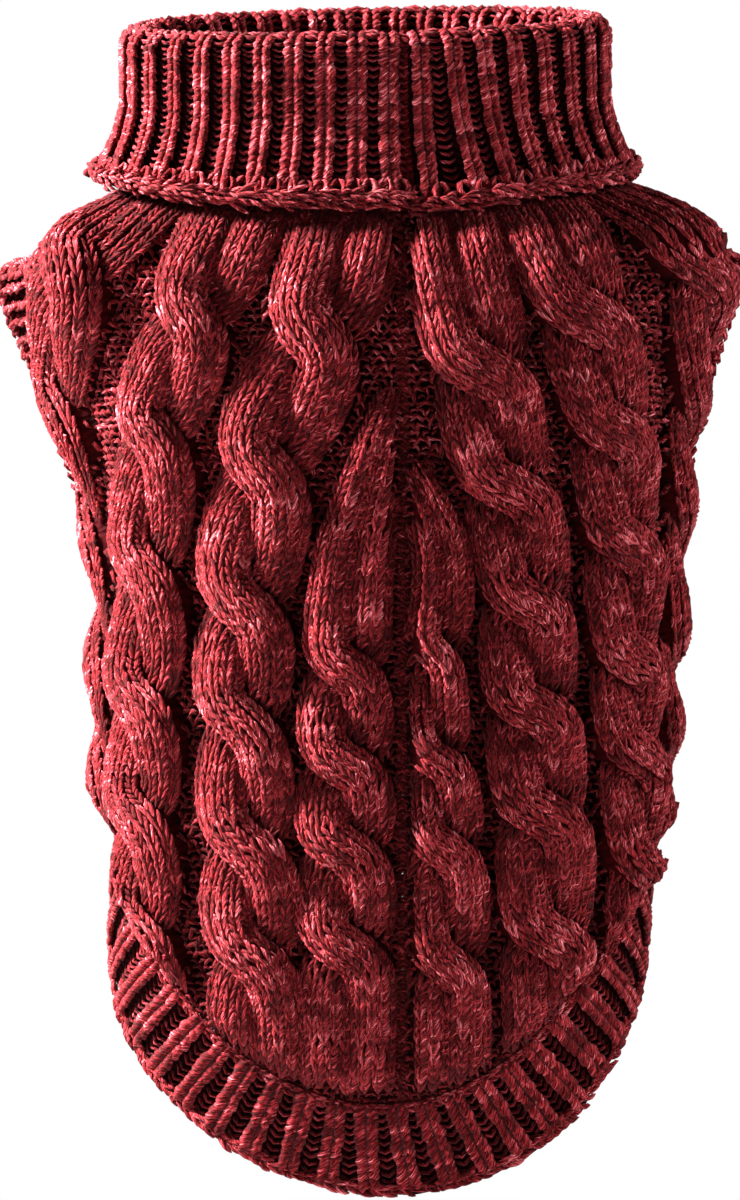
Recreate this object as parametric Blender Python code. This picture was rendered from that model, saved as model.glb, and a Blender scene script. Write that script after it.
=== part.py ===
"""A cable-knit dog sweater, size M, filled out to its worn shape with nobody inside.

The neck is up (+Z), the back of the garment faces -Y and the belly +Y. The origin lies on the
neck's axis, level with the neck seam at the back. Sizes are in millimetres and become metres
when a mesh is made.
"""

import math

import bmesh
import bpy
import numpy as np

MM = 0.001

# The cloth, and the room left between two pieces that are sewn together. A seam on a curve is
# opened a little more, because the flat facets of its two edges don't follow each other.
WALL = 2.4
SEAM_GAP = 0.4
CURVED_SEAM_GAP = 0.8

# The neck seam lies in a plane that drops towards the back and towards the left.
NECK_LEVEL = 6.0
NECK_TILT = math.radians(11.0)
NECK_ROLL = math.radians(1.4)

# Sections of the plain body. Level is the height at the body's axis; back and belly are how far
# the section reaches each way from it, shift is how far its middle lies to the right, and lean
# is the share of the neck seam's slope that it takes.
SECTIONS = (
    # level, half_width, back, belly, shift, lean
    (6.0, 59.5, 31.0, 31.0, 0.0, 1.0),
    (0.0, 64.5, 34.0, 33.5, 0.0, 1.0),
    (-4.0, 69.5, 36.0, 35.5, 0.0, 1.0),
    (-8.0, 78.5, 38.5, 37.5, 0.5, 0.95),
    (-13.0, 90.0, 41.5, 40.5, 3.0, 0.85),
    (-18.0, 96.0, 44.0, 42.5, 4.5, 0.75),
    (-25.0, 97.0, 46.5, 44.5, 1.5, 0.6),
    (-35.0, 94.5, 48.5, 46.5, 1.5, 0.4),
    (-47.0, 89.5, 50.0, 47.5, 2.0, 0.2),
    (-60.0, 85.5, 50.5, 48.0, 2.5, 0.05),
    (-80.0, 80.5, 50.5, 47.5, 4.0, 0.0),
    (-100.0, 77.5, 49.5, 46.0, 6.0, 0.0),
    (-125.0, 76.0, 48.5, 43.5, 6.0, 0.0),
    (-150.0, 75.5, 48.0, 41.5, 5.0, 0.0),
    (-180.0, 74.0, 47.5, 40.0, 5.5, 0.0),
    (-210.0, 74.0, 46.0, 38.5, 4.0, 0.0),
    (-245.0, 72.5, 43.0, 37.0, 3.5, 0.0),
    (-290.0, 71.0, 37.0, 34.0, 8.0, 0.0),
)
SECTION_POWER = 2 / 2.25
SECTION_STEPS = 241
NORMAL_REACH = 1.5

# Seams. Across is measured round the cloth from mid back, share is across over half the girth.
# The back seam keeps its distance from the neck's axis all the way down. The side seams run a
# little towards the belly as they pass the leg holes.
BACK_SEAM = 10.3
SIDE_SEAM_NECK_SHARE = 0.55
SIDE_SEAM_WAIST_SHARE = 0.61

# Leg holes, left open in the side seams.
HOLE_LEVEL = -60.0
HOLE_HALF_HEIGHT = 34.0
HOLE_SHARE_TO_BACK = 0.03
HOLE_SHARE_TO_BELLY = 0.16
LEAST_STEEPNESS = 1e-6
CUFF_CLEARANCE = 0.8
CUFF_MARGIN = 4.8
CUFF_LENGTH = 11.0
CUFF_FLARE = 1.0
CUFF_RIBS = 22
CUFF_RIB_HEIGHT = 1.3
CUFF_RIB_START = 0.35

# The hem runs in a U over the tail and nearly straight across the belly.
HEM_LINE = (
    # share, level
    (0.0, -282.0),
    (0.1, -280.0),
    (0.2, -273.5),
    (0.3, -261.5),
    (0.4, -242.0),
    (0.5, -218.0),
    (0.6, -198.0),
    (0.7, -184.0),
    (0.85, -173.0),
    (1.0, -170.0),
)
LINE_SAMPLES = 721
HEM_BAND_BACK = 24.0
HEM_BAND_BELLY = 20.0
HEM_RIBS = 40
HEM_RIB_HEIGHT = 1.8

# Cables: the middle line of each of the eight at a few heights, in millimetres round the cloth
# from the neck's axis. The two next to the back seam rise out of it below the shoulders.
CABLE_LINES = (
    # height, far left, left, near left, seam left, seam right, near right, right, far right
    (4.0, -56.5, -30.0, -3.0, 10.0, 10.6, 20.5, 41.0, 65.0),
    (-24.0, -78.5, -38.5, -6.0, 10.0, 10.6, 24.0, 53.0, 96.0),
    (-51.0, -94.0, -50.0, -14.5, 9.8, 10.6, 30.0, 63.0, 106.0),
    (-78.0, -101.5, -58.5, -25.0, 4.0, 11.5, 36.0, 70.0, 110.0),
    (-105.0, -103.5, -62.0, -30.5, -2.2, 20.3, 42.0, 73.5, 111.0),
    (-146.0, -102.5, -64.5, -33.0, -5.0, 18.0, 45.0, 76.5, 110.0),
    (-187.0, -101.0, -65.0, -31.5, -5.0, 21.5, 49.0, 80.5, 108.0),
    (-228.0, -99.0, -62.5, -29.5, -4.5, 22.0, 50.5, 81.5, 107.0),
    (-285.0, -94.0, -50.0, -28.5, -4.0, 22.5, 50.0, 80.5, 104.0),
)
# How wide each cable is at a few heights, as a share of the width of a full one.
CABLE_WIDTHS = (
    # height, far left, left, near left, seam left, seam right, near right, right, far right
    (4.0, 1.25, 1.05, 1.05, 0.72, 0.52, 1.0, 1.0, 1.1),
    (-60.0, 1.15, 1.0, 1.15, 0.72, 0.52, 1.02, 1.0, 1.1),
    (-105.0, 1.1, 1.0, 1.05, 0.76, 0.56, 0.94, 1.0, 1.1),
    (-150.0, 1.1, 1.0, 0.95, 0.9, 0.7, 0.96, 0.97, 1.1),
    (-200.0, 1.1, 0.97, 0.98, 0.95, 0.82, 0.98, 0.95, 1.0),
    (-285.0, 1.0, 0.9, 0.92, 0.8, 0.78, 0.82, 0.9, 1.0),
)
# The heights at which the left strand of each cable crosses over the right one.
CABLE_CROSSINGS = (
    (-29.0, -65.0, -98.0, -131.0, -164.0, -197.0),
    (-43.0, -74.0, -111.0, -147.0, -179.0, -210.0),
    (-48.0, -84.0, -121.0, -152.0, -186.0, -216.0),
    (-138.0, -164.0, -187.0, -214.0),
    (-134.0, -163.0, -187.0, -218.0),
    (-57.0, -89.0, -120.0, -149.0, -178.0, -211.0),
    (-42.0, -73.0, -104.0, -136.0, -162.0, -193.0, -222.0),
    (-27.0, -63.0, -94.0, -130.0, -157.0, -190.0),
)
# Where each cable starts, and how far down it takes to reach its full width. Six of them start
# above the neck's edge, which they meet at full width.
CABLE_STARTS = (90.0, 90.0, 90.0, -57.0, -77.0, 90.0, 90.0, 90.0)
CABLE_GROWTHS = (50.0, 50.0, 50.0, 50.0, 27.0, 50.0, 50.0, 50.0)
CABLE_GROWTH_POWER = 0.5
CABLE_RISE = 12.0
# How abruptly the strands of each cable change sides.
CABLE_SNAPS = (1.4, 1.5, 1.5, 1.8, 2.0, 2.6, 2.6, 2.4)

# Strands: two to a cable, of one width side by side and another where they cross.
STRAND_HALF_WIDTH = 7.9
STRAND_NARROWING = 1.2
STRAND_LEAST_WIDTH = 1.0
STRAND_SWING = 6.9
STRAND_HEIGHT = 5.6
STRAND_ROUNDNESS = 0.7
STRAND_LIFT = 3.3
STRAND_TOP = 24.0
STRAND_FOOT = -300.0
STRAND_STEP = 0.75

# How far from an edge the cables sink into the plain cloth.
SEAM_FADE = 3.0
HOLE_FADE = 4.0
NECK_FADE = 30.0
HEM_FADE = 3.0

# The belly's ribs.
BELLY_RIBS = 15
BELLY_RIB_HEIGHT = 1.6

# The collar: a ribbed tube that stands up from the neck seam and is turned down over itself.
COLLAR_HALF_WIDTH = 57.5
COLLAR_HALF_DEPTH = 30.0
COLLAR_STAND = 32.5
COLLAR_STAND_FLARE = 3.0
COLLAR_TURN = 2.7
COLLAR_FOLD = 42.0
COLLAR_FOLD_RISE = 4.5
COLLAR_FLARE = 8.0
COLLAR_FLARE_RUN = 24.0
COLLAR_FLARE_POWER = 1.5
COLLAR_RIBS = 40
COLLAR_RIB_HEIGHT = 1.5
COLLAR_ROLL = 2.4
COLLAR_ROLL_RUN = 5.0
COLLAR_ROLL_END = 0.8
# The collar's seam, as shares of half the way round. Right of it the edge hangs lower, and the
# ribs lean outwards as they come down.
COLLAR_SEAM_SHARE = 0.063
COLLAR_SEAM_HALF_SHARE = 0.03
COLLAR_SEAM_DEPTH = 1.6
COLLAR_SEAM_DROP = 2.0
COLLAR_DROP_SHARE = 0.2
COLLAR_RIGHT_DROP = 0.6
COLLAR_LEAN = 0.035
COLLAR_LEAN_START = 0.08
COLLAR_LEAN_END = 0.55

# Mesh cells. The outer face of a piece is fine, and its inner face takes each third point.
# The back's columns from the seam outwards: the first, those on the four cables, and the last.
COLUMNS_AT_CABLES = (0, 4, 11, 18, 26, 30)
FIRST_CABLE_COLUMN = 6.0
BACK_ROWS = 69
BELLY_ROWS_ABOVE = 9
BELLY_ROWS_BESIDE = 12
BELLY_ROWS_BELOW = 9
HEM_ROWS = 4
CUFF_ROWS = 4
STAND_ROWS = 2
TURN_ROWS = 4
FOLD_ROWS = 8
FOLD_ROW_POWER = 0.8
# Rows and seams follow each other, so each is worked out again this many times.
SETTLING_ROUNDS = 6

YARN = (0.118, 0.008, 0.012, 1.0)
YARN_LIGHT = (0.160, 0.012, 0.017, 1.0)
YARN_ROUGHNESS = 0.9


def clear_scene():
    for item in list(bpy.data.objects):
        bpy.data.objects.remove(item, do_unlink=True)


def curve_through(table, level_ends=False):
    """A function that gives a table's other columns, on smooth curves, at any first column."""
    rows = np.array(table)
    way = np.sign(rows[1, 0] - rows[0, 0])
    knots = way * rows[:, 0]
    values = rows[:, 1:]
    slopes = np.gradient(values, knots, axis=0)
    if level_ends:
        slopes[0] = slopes[-1] = 0.0

    def at(first_column):
        place = np.clip(way * np.asarray(first_column, float), knots[0], knots[-1])
        first = np.clip(np.searchsorted(knots, place, side="right") - 1, 0, len(knots) - 2)
        span = (knots[first + 1] - knots[first])[..., None]
        part = (place[..., None] - knots[first][..., None]) / span
        start = (2 * part**3 - 3 * part**2 + 1) * values[first]
        end = (3 * part**2 - 2 * part**3) * values[first + 1]
        leave = (part**3 - 2 * part**2 + part) * span * slopes[first]
        arrive = (part**3 - part**2) * span * slopes[first + 1]
        return start + end + leave + arrive

    return at


body_section = curve_through(SECTIONS)
cable_lines = curve_through(CABLE_LINES)
cable_widths = curve_through(CABLE_WIDTHS)
hem_line = curve_through(HEM_LINE, level_ends=True)


def ease(value):
    """0 at 0 and below, 1 at 1 and above, smooth between."""
    part = np.clip(value, 0.0, 1.0)
    return part * part * (3 - 2 * part)


def half_outline(level):
    """Half of the section at each level, from mid back to mid belly, with its running length."""
    half_width, back, belly = np.moveaxis(body_section(level), -1, 0)[:3, ..., None]
    sweep = np.linspace(0.0, math.pi, SECTION_STEPS)
    forth = np.cos(sweep)
    x = half_width * np.sin(sweep) ** SECTION_POWER
    y = (belly - back) / 2 - (belly + back) / 2 * np.sign(forth) * np.abs(forth) ** SECTION_POWER
    steps = np.hypot(np.diff(x), np.diff(y))
    run = np.concatenate([np.zeros(steps.shape[:-1] + (1,)), np.cumsum(steps, axis=-1)], axis=-1)
    return x, y, run


def half_girth(level):
    return half_outline(np.asarray(level, float))[2][..., -1]


def body_point(share, level):
    """Points of the plain body, for arrays of one shape. A share past 1 goes on round the belly."""
    share, level = np.broadcast_arrays(np.asarray(share, float), np.asarray(level, float))
    turned = (share + 1) % 2 - 1
    x, y, run = half_outline(level.ravel())
    wanted = np.abs(turned).ravel() * run[:, -1]
    across = np.array([np.interp(w, r, row) for w, r, row in zip(wanted, run, x)])
    deep = np.array([np.interp(w, r, row) for w, r, row in zip(wanted, run, y)])
    shift, lean = body_section(level.ravel())[:, 3:].T
    right = shift + across * np.sign(turned).ravel()
    slope = math.tan(NECK_TILT) * deep + math.tan(NECK_ROLL) * right
    points = np.stack([right, deep, level.ravel() + lean * slope], axis=-1)
    return points.reshape(share.shape + (3,))


def body_normal(share, level):
    """Unit vectors out of the body, from points a little way off on each side."""
    share_step = NORMAL_REACH / half_girth(level)
    around = body_point(share + share_step, level) - body_point(share - share_step, level)
    above, below = level + NORMAL_REACH, level - NORMAL_REACH
    down = body_point(share, below) - body_point(share, above)
    normal = np.cross(down, around)
    return normal / np.linalg.norm(normal, axis=-1, keepdims=True)


def crossings_passed(height, crossings):
    """How many crossings lie above each height, with halves where the strands lie side by side."""
    heights = np.array(crossings)
    half_pitch = (heights[0] - heights[-1]) / (len(heights) - 1) / 2
    knots = np.concatenate([[heights[0] + half_pitch], heights, [heights[-1] - half_pitch]])
    counts = np.concatenate([[-0.5], np.arange(len(heights)), [len(heights) - 0.5]])
    return np.interp(-height, -knots, counts)


def strand_line(cable, side):
    """The middle line of a cable's left (-1) or right (1) strand at crossing number 0, as across
    and height, with its half width and its crown's height at each point."""
    height = np.arange(STRAND_TOP, STRAND_FOOT, -STRAND_STEP)
    phase = math.pi * crossings_passed(height, CABLE_CROSSINGS[cable])
    passed = CABLE_STARTS[cable] - height
    growth = np.clip(passed / CABLE_GROWTHS[cable], 0.0, 1.0) ** CABLE_GROWTH_POWER
    width = cable_widths(height)[:, cable]
    snap = CABLE_SNAPS[cable]
    swing = STRAND_SWING * np.tanh(snap * np.sin(phase)) / math.tanh(snap)
    full_width = STRAND_HALF_WIDTH - STRAND_NARROWING * np.cos(phase) ** 2
    half_width = STRAND_LEAST_WIDTH + (full_width - STRAND_LEAST_WIDTH) * growth
    crown = (STRAND_HEIGHT + side * STRAND_LIFT * np.cos(phase)) * ease(passed / CABLE_RISE)
    across = cable_lines(height)[:, cable] + side * swing * growth * width
    return np.stack([across, height], axis=-1), half_width * width, crown


STRAND_LINES = [strand_line(cable, side) for cable in range(len(CABLE_CROSSINGS)) for side in (1, -1)]


def cable_relief(across, height):
    """How far the cables stand out of the plain cloth: each strand is a rope on its line."""
    relief = np.zeros(across.shape)
    for line, half_width, crown in STRAND_LINES:
        away = np.hypot(across[..., None] - line[:, 0], height[..., None] - line[:, 1])
        nearest = away.argmin(axis=-1)
        offset = away.min(axis=-1) / half_width[nearest]
        dome = np.clip(1 - offset**2, 0.0, None) ** STRAND_ROUNDNESS
        relief = np.maximum(relief, dome * crown[nearest])
    return relief


def hole_width(level):
    """1 at the middle of a leg hole's height, 0 at its ends and beyond."""
    return np.sqrt(np.clip(1 - ((level - HOLE_LEVEL) / HOLE_HALF_HEIGHT) ** 2, 0.0, None))


def side_seam(level):
    """The side seam's share at each level."""
    passed = ease((HOLE_LEVEL + HOLE_HALF_HEIGHT - level) / (2 * HOLE_HALF_HEIGHT))
    return SIDE_SEAM_NECK_SHARE + (SIDE_SEAM_WAIST_SHARE - SIDE_SEAM_NECK_SHARE) * passed


def away_from_hole(share, level):
    """Roughly how far each place on the cloth lies outside the nearer leg hole's edge."""
    girth = half_girth(level)
    turned = np.abs((share + 1) % 2 - 1)
    across = (turned - side_seam(level)) * girth
    reach = np.where(across > 0, HOLE_SHARE_TO_BELLY, HOLE_SHARE_TO_BACK) * girth
    above = level - HOLE_LEVEL
    ratio = np.hypot(across / reach, above / HOLE_HALF_HEIGHT)
    steepness = np.hypot(across / reach**2, above / HOLE_HALF_HEIGHT**2)
    return (ratio - 1) * ratio / np.maximum(steepness, LEAST_STEEPNESS)


def hem_level(share):
    return hem_line(np.abs(share))[..., 0]


def hem_edge():
    """The hem's edge once round, as across, level and the unit step towards the body."""
    share = np.linspace(-1.0, 1.0, LINE_SAMPLES)
    level = hem_level(share)
    across = share * half_girth(level)
    step = np.stack([np.gradient(across), np.gradient(level)], axis=-1)
    step /= np.linalg.norm(step, axis=-1, keepdims=True)
    return across, level, np.stack([-step[:, 1], step[:, 0]], axis=-1)


def hem_band_width(share):
    return HEM_BAND_BELLY + (HEM_BAND_BACK - HEM_BAND_BELLY) * (1 + np.cos(math.pi * share)) / 2


def band_top():
    """The line where the hem band meets the panels, as shares and levels."""
    across, level, inward = hem_edge()
    width = hem_band_width(np.linspace(-1.0, 1.0, LINE_SAMPLES))
    top_level = level + inward[:, 1] * width
    top_across = across + inward[:, 0] * width
    return top_across / half_girth(top_level), top_level


BAND_TOP_SHARES, BAND_TOP_LEVELS = band_top()


def panel_bottom(share):
    turned = (share + 1) % 2 - 1
    return np.interp(turned, BAND_TOP_SHARES, BAND_TOP_LEVELS) + CURVED_SEAM_GAP


def panel_points(share, level, relief):
    """The outer points of a panel, and the plain inner ones at every third of them."""
    plain = body_point(share, level)
    normal = body_normal(share, level)
    outer = plain + normal * relief[..., None]
    inner = (plain - normal * WALL)[::3, ::3]
    return outer, inner


def back_columns(height, inside, outside, shift, side):
    """Across for each column of a half of the back. The columns follow the cables."""
    middles = cable_lines(height) - shift[..., None]
    own = middles[..., 4:] if side > 0 else middles[..., 3::-1]
    own[..., 0] = inside + side * np.maximum(side * (own[..., 0] - inside), FIRST_CABLE_COLUMN)
    guides = np.concatenate([inside[..., None], own, outside[..., None]], axis=-1)
    across = np.empty(height.shape)
    for column in range(COLUMNS_AT_CABLES[-1] + 1):
        after = max(1, int(np.searchsorted(COLUMNS_AT_CABLES, column)))
        before, end = COLUMNS_AT_CABLES[after - 1], COLUMNS_AT_CABLES[after]
        part = (column - before) / (end - before)
        line = guides[column]
        across[column] = line[:, after - 1] * (1 - part) + line[:, after] * part
    return across


def back_panel(side):
    """Half of the back, from the back seam to the side seam. Side is 1 on the right."""
    drop = np.linspace(0.0, 1.0, BACK_ROWS + 1)[None, :]
    share = side * np.linspace(0.0, 0.5, COLUMNS_AT_CABLES[-1] + 1)[:, None] + 0 * drop
    for _ in range(SETTLING_ROUNDS):
        level = NECK_LEVEL + (panel_bottom(share) - NECK_LEVEL) * drop
        height = body_point(share, level)[..., 2]
        girth = half_girth(level)
        shift = body_section(level)[..., 3]
        inside = BACK_SEAM - shift + side * SEAM_GAP / 2
        edge = side_seam(level) - HOLE_SHARE_TO_BACK * hole_width(level)
        outside = side * (edge * girth - CURVED_SEAM_GAP / 2)
        across = back_columns(height, inside, outside, shift, side)
        share = across / girth
    fade = ease(np.abs(across - inside) / SEAM_FADE)
    fade = fade * ease(np.abs(across - outside) / SEAM_FADE)
    fade = fade * ease((NECK_LEVEL - level) / NECK_FADE)
    fade = fade * ease((level - panel_bottom(share)) / HEM_FADE)
    fade = fade * ease((away_from_hole(share, level) - CUFF_MARGIN) / HOLE_FADE)
    relief = cable_relief(across + shift, height) * fade
    left_to_right = slice(None, None, side)
    return panel_points(share[left_to_right], level[left_to_right], relief[left_to_right])


def belly_panel():
    """The ribbed panel under the chest and belly, scooped out at both sides for the legs."""
    hole_top = HOLE_LEVEL + HOLE_HALF_HEIGHT
    hole_turn = np.linspace(0.0, math.pi, BELLY_ROWS_BESIDE + 1)
    above = np.linspace(NECK_LEVEL, hole_top, BELLY_ROWS_ABOVE + 1)[:-1]
    beside = HOLE_LEVEL + HOLE_HALF_HEIGHT * np.cos(hole_turn)
    below = np.linspace(0.0, 1.0, BELLY_ROWS_BELOW + 1)[1:]
    columns = 2 * BELLY_RIBS
    part = np.linspace(0.0, 1.0, columns + 1)[:, None]
    level = np.concatenate([above, beside, beside[-1] - below])[None, :] + 0 * part
    for _ in range(SETTLING_ROUNDS):
        girth = half_girth(level)
        edge = side_seam(level) + HOLE_SHARE_TO_BELLY * hole_width(level)
        edge = edge + CURVED_SEAM_GAP / 2 / girth
        share = edge + (2 - 2 * edge) * part
        bottom = panel_bottom(share[:, -BELLY_ROWS_BELOW:])
        level[:, -BELLY_ROWS_BELOW:] = beside[-1] + (bottom - beside[-1]) * below
    rib = np.arange(columns + 1)[:, None] % 2 * BELLY_RIB_HEIGHT
    relief = rib * ease((NECK_LEVEL - level) / NECK_FADE)
    relief = relief * ease((away_from_hole(share, level) - CUFF_MARGIN) / HOLE_FADE)
    return panel_points(share, level, relief)


def hem_band():
    """The ribbed band round the hem. Its ribs run square to the edge."""
    columns = 2 * HEM_RIBS
    fine_across, fine_level, fine_inward = hem_edge()
    steps = np.hypot(np.diff(fine_across), np.diff(fine_level))
    run = np.concatenate([[0.0], np.cumsum(steps)])
    wanted = np.linspace(0.0, run[-1], columns + 1)[:-1]
    across = np.interp(wanted, run, fine_across)
    level = np.interp(wanted, run, fine_level)
    width = hem_band_width(np.interp(wanted, run, np.linspace(-1.0, 1.0, len(run))))
    inward = np.stack([np.interp(wanted, run, fine_inward[:, axis]) for axis in (0, 1)], axis=-1)
    reach = np.linspace(1.0, 0.0, HEM_ROWS + 1)[None, :] * width[:, None]
    band_level = level[:, None] + inward[:, 1:] * reach
    share = (across[:, None] + inward[:, :1] * reach) / half_girth(band_level)
    relief = np.arange(columns)[:, None] % 2 * HEM_RIB_HEIGHT + 0 * reach
    plain = body_point(share, band_level)
    normal = body_normal(share, band_level)
    outer = plain + normal * relief[..., None]
    return outer, (plain - normal * WALL)[::2, ::2]


def hole_ring(side, widened):
    """Points evenly spaced round a leg hole, just above the cloth and outside the hole's edge by
    the given width."""
    turn = np.linspace(0.0, 2 * math.pi, LINE_SAMPLES)
    level = HOLE_LEVEL + (HOLE_HALF_HEIGHT + widened) * np.cos(turn)
    reach = np.where(np.sin(turn) > 0, HOLE_SHARE_TO_BELLY, HOLE_SHARE_TO_BACK)
    share = side * (side_seam(level) + (reach + widened / half_girth(level)) * np.sin(turn))
    ring = body_point(share, level)
    run = np.concatenate([[0.0], np.cumsum(np.linalg.norm(np.diff(ring, axis=0), axis=1))])
    wanted = np.linspace(0.0, run[-1], 2 * CUFF_RIBS + 1)[:-1]
    level = np.interp(wanted, run, level)
    share = np.interp(wanted, run, share)
    return body_point(share, level) + body_normal(share, level) * CUFF_CLEARANCE


def cuff(side):
    """The short ribbed band on the rim of a leg hole, standing out along the hole's own axis."""
    middle_share = side * (side_seam(HOLE_LEVEL) + (HOLE_SHARE_TO_BELLY - HOLE_SHARE_TO_BACK) / 2)
    axis = body_normal(np.array([middle_share]), np.array([HOLE_LEVEL]))[0]
    inside, outside = hole_ring(side, 0.0), hole_ring(side, WALL)
    outward = outside - inside.mean(axis=0)
    outward -= (outward @ axis)[:, None] * axis
    outward /= np.linalg.norm(outward, axis=-1, keepdims=True)
    risen = np.linspace(0.0, 1.0, CUFF_ROWS + 1)[None, :, None]
    rise = risen * (CUFF_LENGTH * axis + CUFF_FLARE * outward[:, None])
    rib = np.arange(2 * CUFF_RIBS)[:, None, None] % 2 * CUFF_RIB_HEIGHT
    outer = outside[:, None] + rise + outward[:, None] * rib * ease(risen / CUFF_RIB_START)
    inner = inside[:, None] + rise
    return outer, inner[::2, ::2]


def collar_path():
    """The middle of the collar's wall from the neck seam over the turn to the edge, with its
    left-hand normals, as radial and upright millimetres, and the run left to the edge."""
    up = np.linspace(SEAM_GAP, COLLAR_STAND, STAND_ROWS + 1)[:-1]
    stand = np.stack([COLLAR_STAND_FLARE * up / COLLAR_STAND, up], axis=-1)
    angle = np.linspace(math.pi, 0.0, TURN_ROWS + 1)[:-1]
    centre = np.array([COLLAR_STAND_FLARE + COLLAR_TURN, COLLAR_STAND])
    turn = centre + COLLAR_TURN * np.stack([np.cos(angle), np.sin(angle)], axis=-1)
    left = COLLAR_FOLD * (1 - np.linspace(0.0, 1.0, FOLD_ROWS + 1) ** FOLD_ROW_POWER)
    flared = np.clip(1 - left / COLLAR_FLARE_RUN, 0.0, None)
    flare = COLLAR_FLARE * flared**COLLAR_FLARE_POWER
    fold_radius = COLLAR_STAND_FLARE + 2 * COLLAR_TURN + flare
    fold = np.stack([fold_radius, COLLAR_STAND - COLLAR_FOLD + left], axis=-1)
    path = np.concatenate([stand, turn, fold])
    step = np.gradient(path, axis=0)
    step /= np.linalg.norm(step, axis=-1, keepdims=True)
    normal = np.stack([-step[:, 1], step[:, 0]], axis=-1)
    run_left = np.concatenate([np.full(len(stand) + len(turn), COLLAR_FOLD), left])
    return path, normal, run_left


def collar_sweep(share):
    """The angle round the neck's axis at each share of the way round the collar."""
    radius = COLLAR_STAND_FLARE + 2 * COLLAR_TURN
    angle = np.linspace(-math.pi, math.pi, LINE_SAMPLES)
    across = (COLLAR_HALF_WIDTH + radius) * np.abs(np.sin(angle)) ** SECTION_POWER * np.sign(angle)
    forth = np.cos(angle)
    deep = (COLLAR_HALF_DEPTH + radius) * np.sign(forth) * np.abs(forth) ** SECTION_POWER
    run = np.concatenate([[0.0], np.cumsum(np.hypot(np.diff(across), np.diff(deep)))])
    return np.interp((share + 1) % 2 - 1, 2 * run / run[-1] - 1, angle)


def collar_surface(share, radius, upright):
    """Points at shares round the collar, leaning as the neck seam does."""
    sweep = collar_sweep(share)
    x = (COLLAR_HALF_WIDTH + radius) * np.sign(sweep) * np.abs(np.sin(sweep)) ** SECTION_POWER
    forth = np.cos(sweep)
    y = -(COLLAR_HALF_DEPTH + radius) * np.sign(forth) * np.abs(forth) ** SECTION_POWER
    deep = y * math.cos(NECK_TILT) - upright * math.sin(NECK_TILT)
    high = y * math.sin(NECK_TILT) + upright * math.cos(NECK_TILT)
    return np.stack([x, deep, NECK_LEVEL + high + x * math.tan(NECK_ROLL)], axis=-1)


def collar():
    """The turned-down collar. Its outer face is the one that shows inside the neck and outside."""
    path, normal, run_left = collar_path()
    columns = 2 * COLLAR_RIBS
    past_seam = np.linspace(0.0, 2.0, columns + 1)[:-1, None]
    from_seam = np.minimum(past_seam, 2 - past_seam) / COLLAR_SEAM_HALF_SHARE
    groove = COLLAR_SEAM_DEPTH * np.clip(1 - from_seam, 0.0, None)
    rib = np.arange(columns)[:, None] % 2 * COLLAR_RIB_HEIGHT
    roll = COLLAR_ROLL * np.sin(math.pi * np.clip(COLLAR_ROLL_END - run_left / COLLAR_ROLL_RUN, 0, 1))
    thick = WALL / 2 + roll / 2
    out = thick + rib + roll / 2 - groove
    down = 1 - run_left / COLLAR_FOLD
    leaning = ease(past_seam / COLLAR_LEAN_START) * ease((COLLAR_LEAN_END - past_seam) / COLLAR_LEAN_END)
    share = COLLAR_SEAM_SHARE + past_seam + COLLAR_LEAN * leaning * down
    turned = np.abs((COLLAR_SEAM_SHARE + past_seam + 1) % 2 - 1)
    rise = COLLAR_FOLD_RISE * np.sin(math.pi * np.clip(turned, 0.0, 0.5)) ** 2
    rise = rise * (1 - COLLAR_RIGHT_DROP * np.clip(np.sin(collar_sweep(share)), 0.0, 1.0))
    drop = COLLAR_SEAM_DROP * (past_seam > 0) * ease(1 - past_seam / COLLAR_DROP_SHARE)
    up = path[:, 1] + (rise - drop) * down
    front = collar_surface(share, path[:, 0] + normal[:, 0] * out, up + normal[:, 1] * out)
    coarse = slice(None, None, 2)
    behind_radius = (path[:, 0] - normal[:, 0] * thick)[coarse] + 0 * share[coarse, :1]
    behind_up = (up - normal[:, 1] * thick)[coarse, coarse]
    return front, collar_surface(share[coarse, coarse], behind_radius, behind_up)


def rim_faces(fine, coarse):
    """Triangles that join a fine line of vertices to a coarse one beside it."""
    step = (len(fine) - 1) // (len(coarse) - 1)
    faces = []
    for index in range(len(coarse) - 1):
        here, there = coarse[index], coarse[index + 1]
        chain = fine[index * step:(index + 1) * step + 1]
        middle = step // 2
        faces += [(chain[k], chain[k + 1], here) for k in range(middle)]
        faces += [(chain[k], chain[k + 1], there) for k in range(middle, step)]
        faces.append((chain[middle], there, here))
    return faces


def grid_faces(numbers):
    """Two triangles for each cell of a grid of vertices, split as the crossing strands run."""
    start, across = numbers[:-1, :-1], numbers[1:, :-1]
    far, down = numbers[1:, 1:], numbers[:-1, 1:]
    halves = ((start, across, far), (start, far, down))
    return [tuple(face) for half in halves for face in np.stack(half, axis=-1).reshape(-1, 3).tolist()]


def closed_round(numbers):
    return np.concatenate([numbers, numbers[:1]])


def face_outwards(mesh):
    work = bmesh.new()
    work.from_mesh(mesh)
    bmesh.ops.recalc_face_normals(work, faces=work.faces)
    work.to_mesh(mesh)
    work.free()


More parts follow.
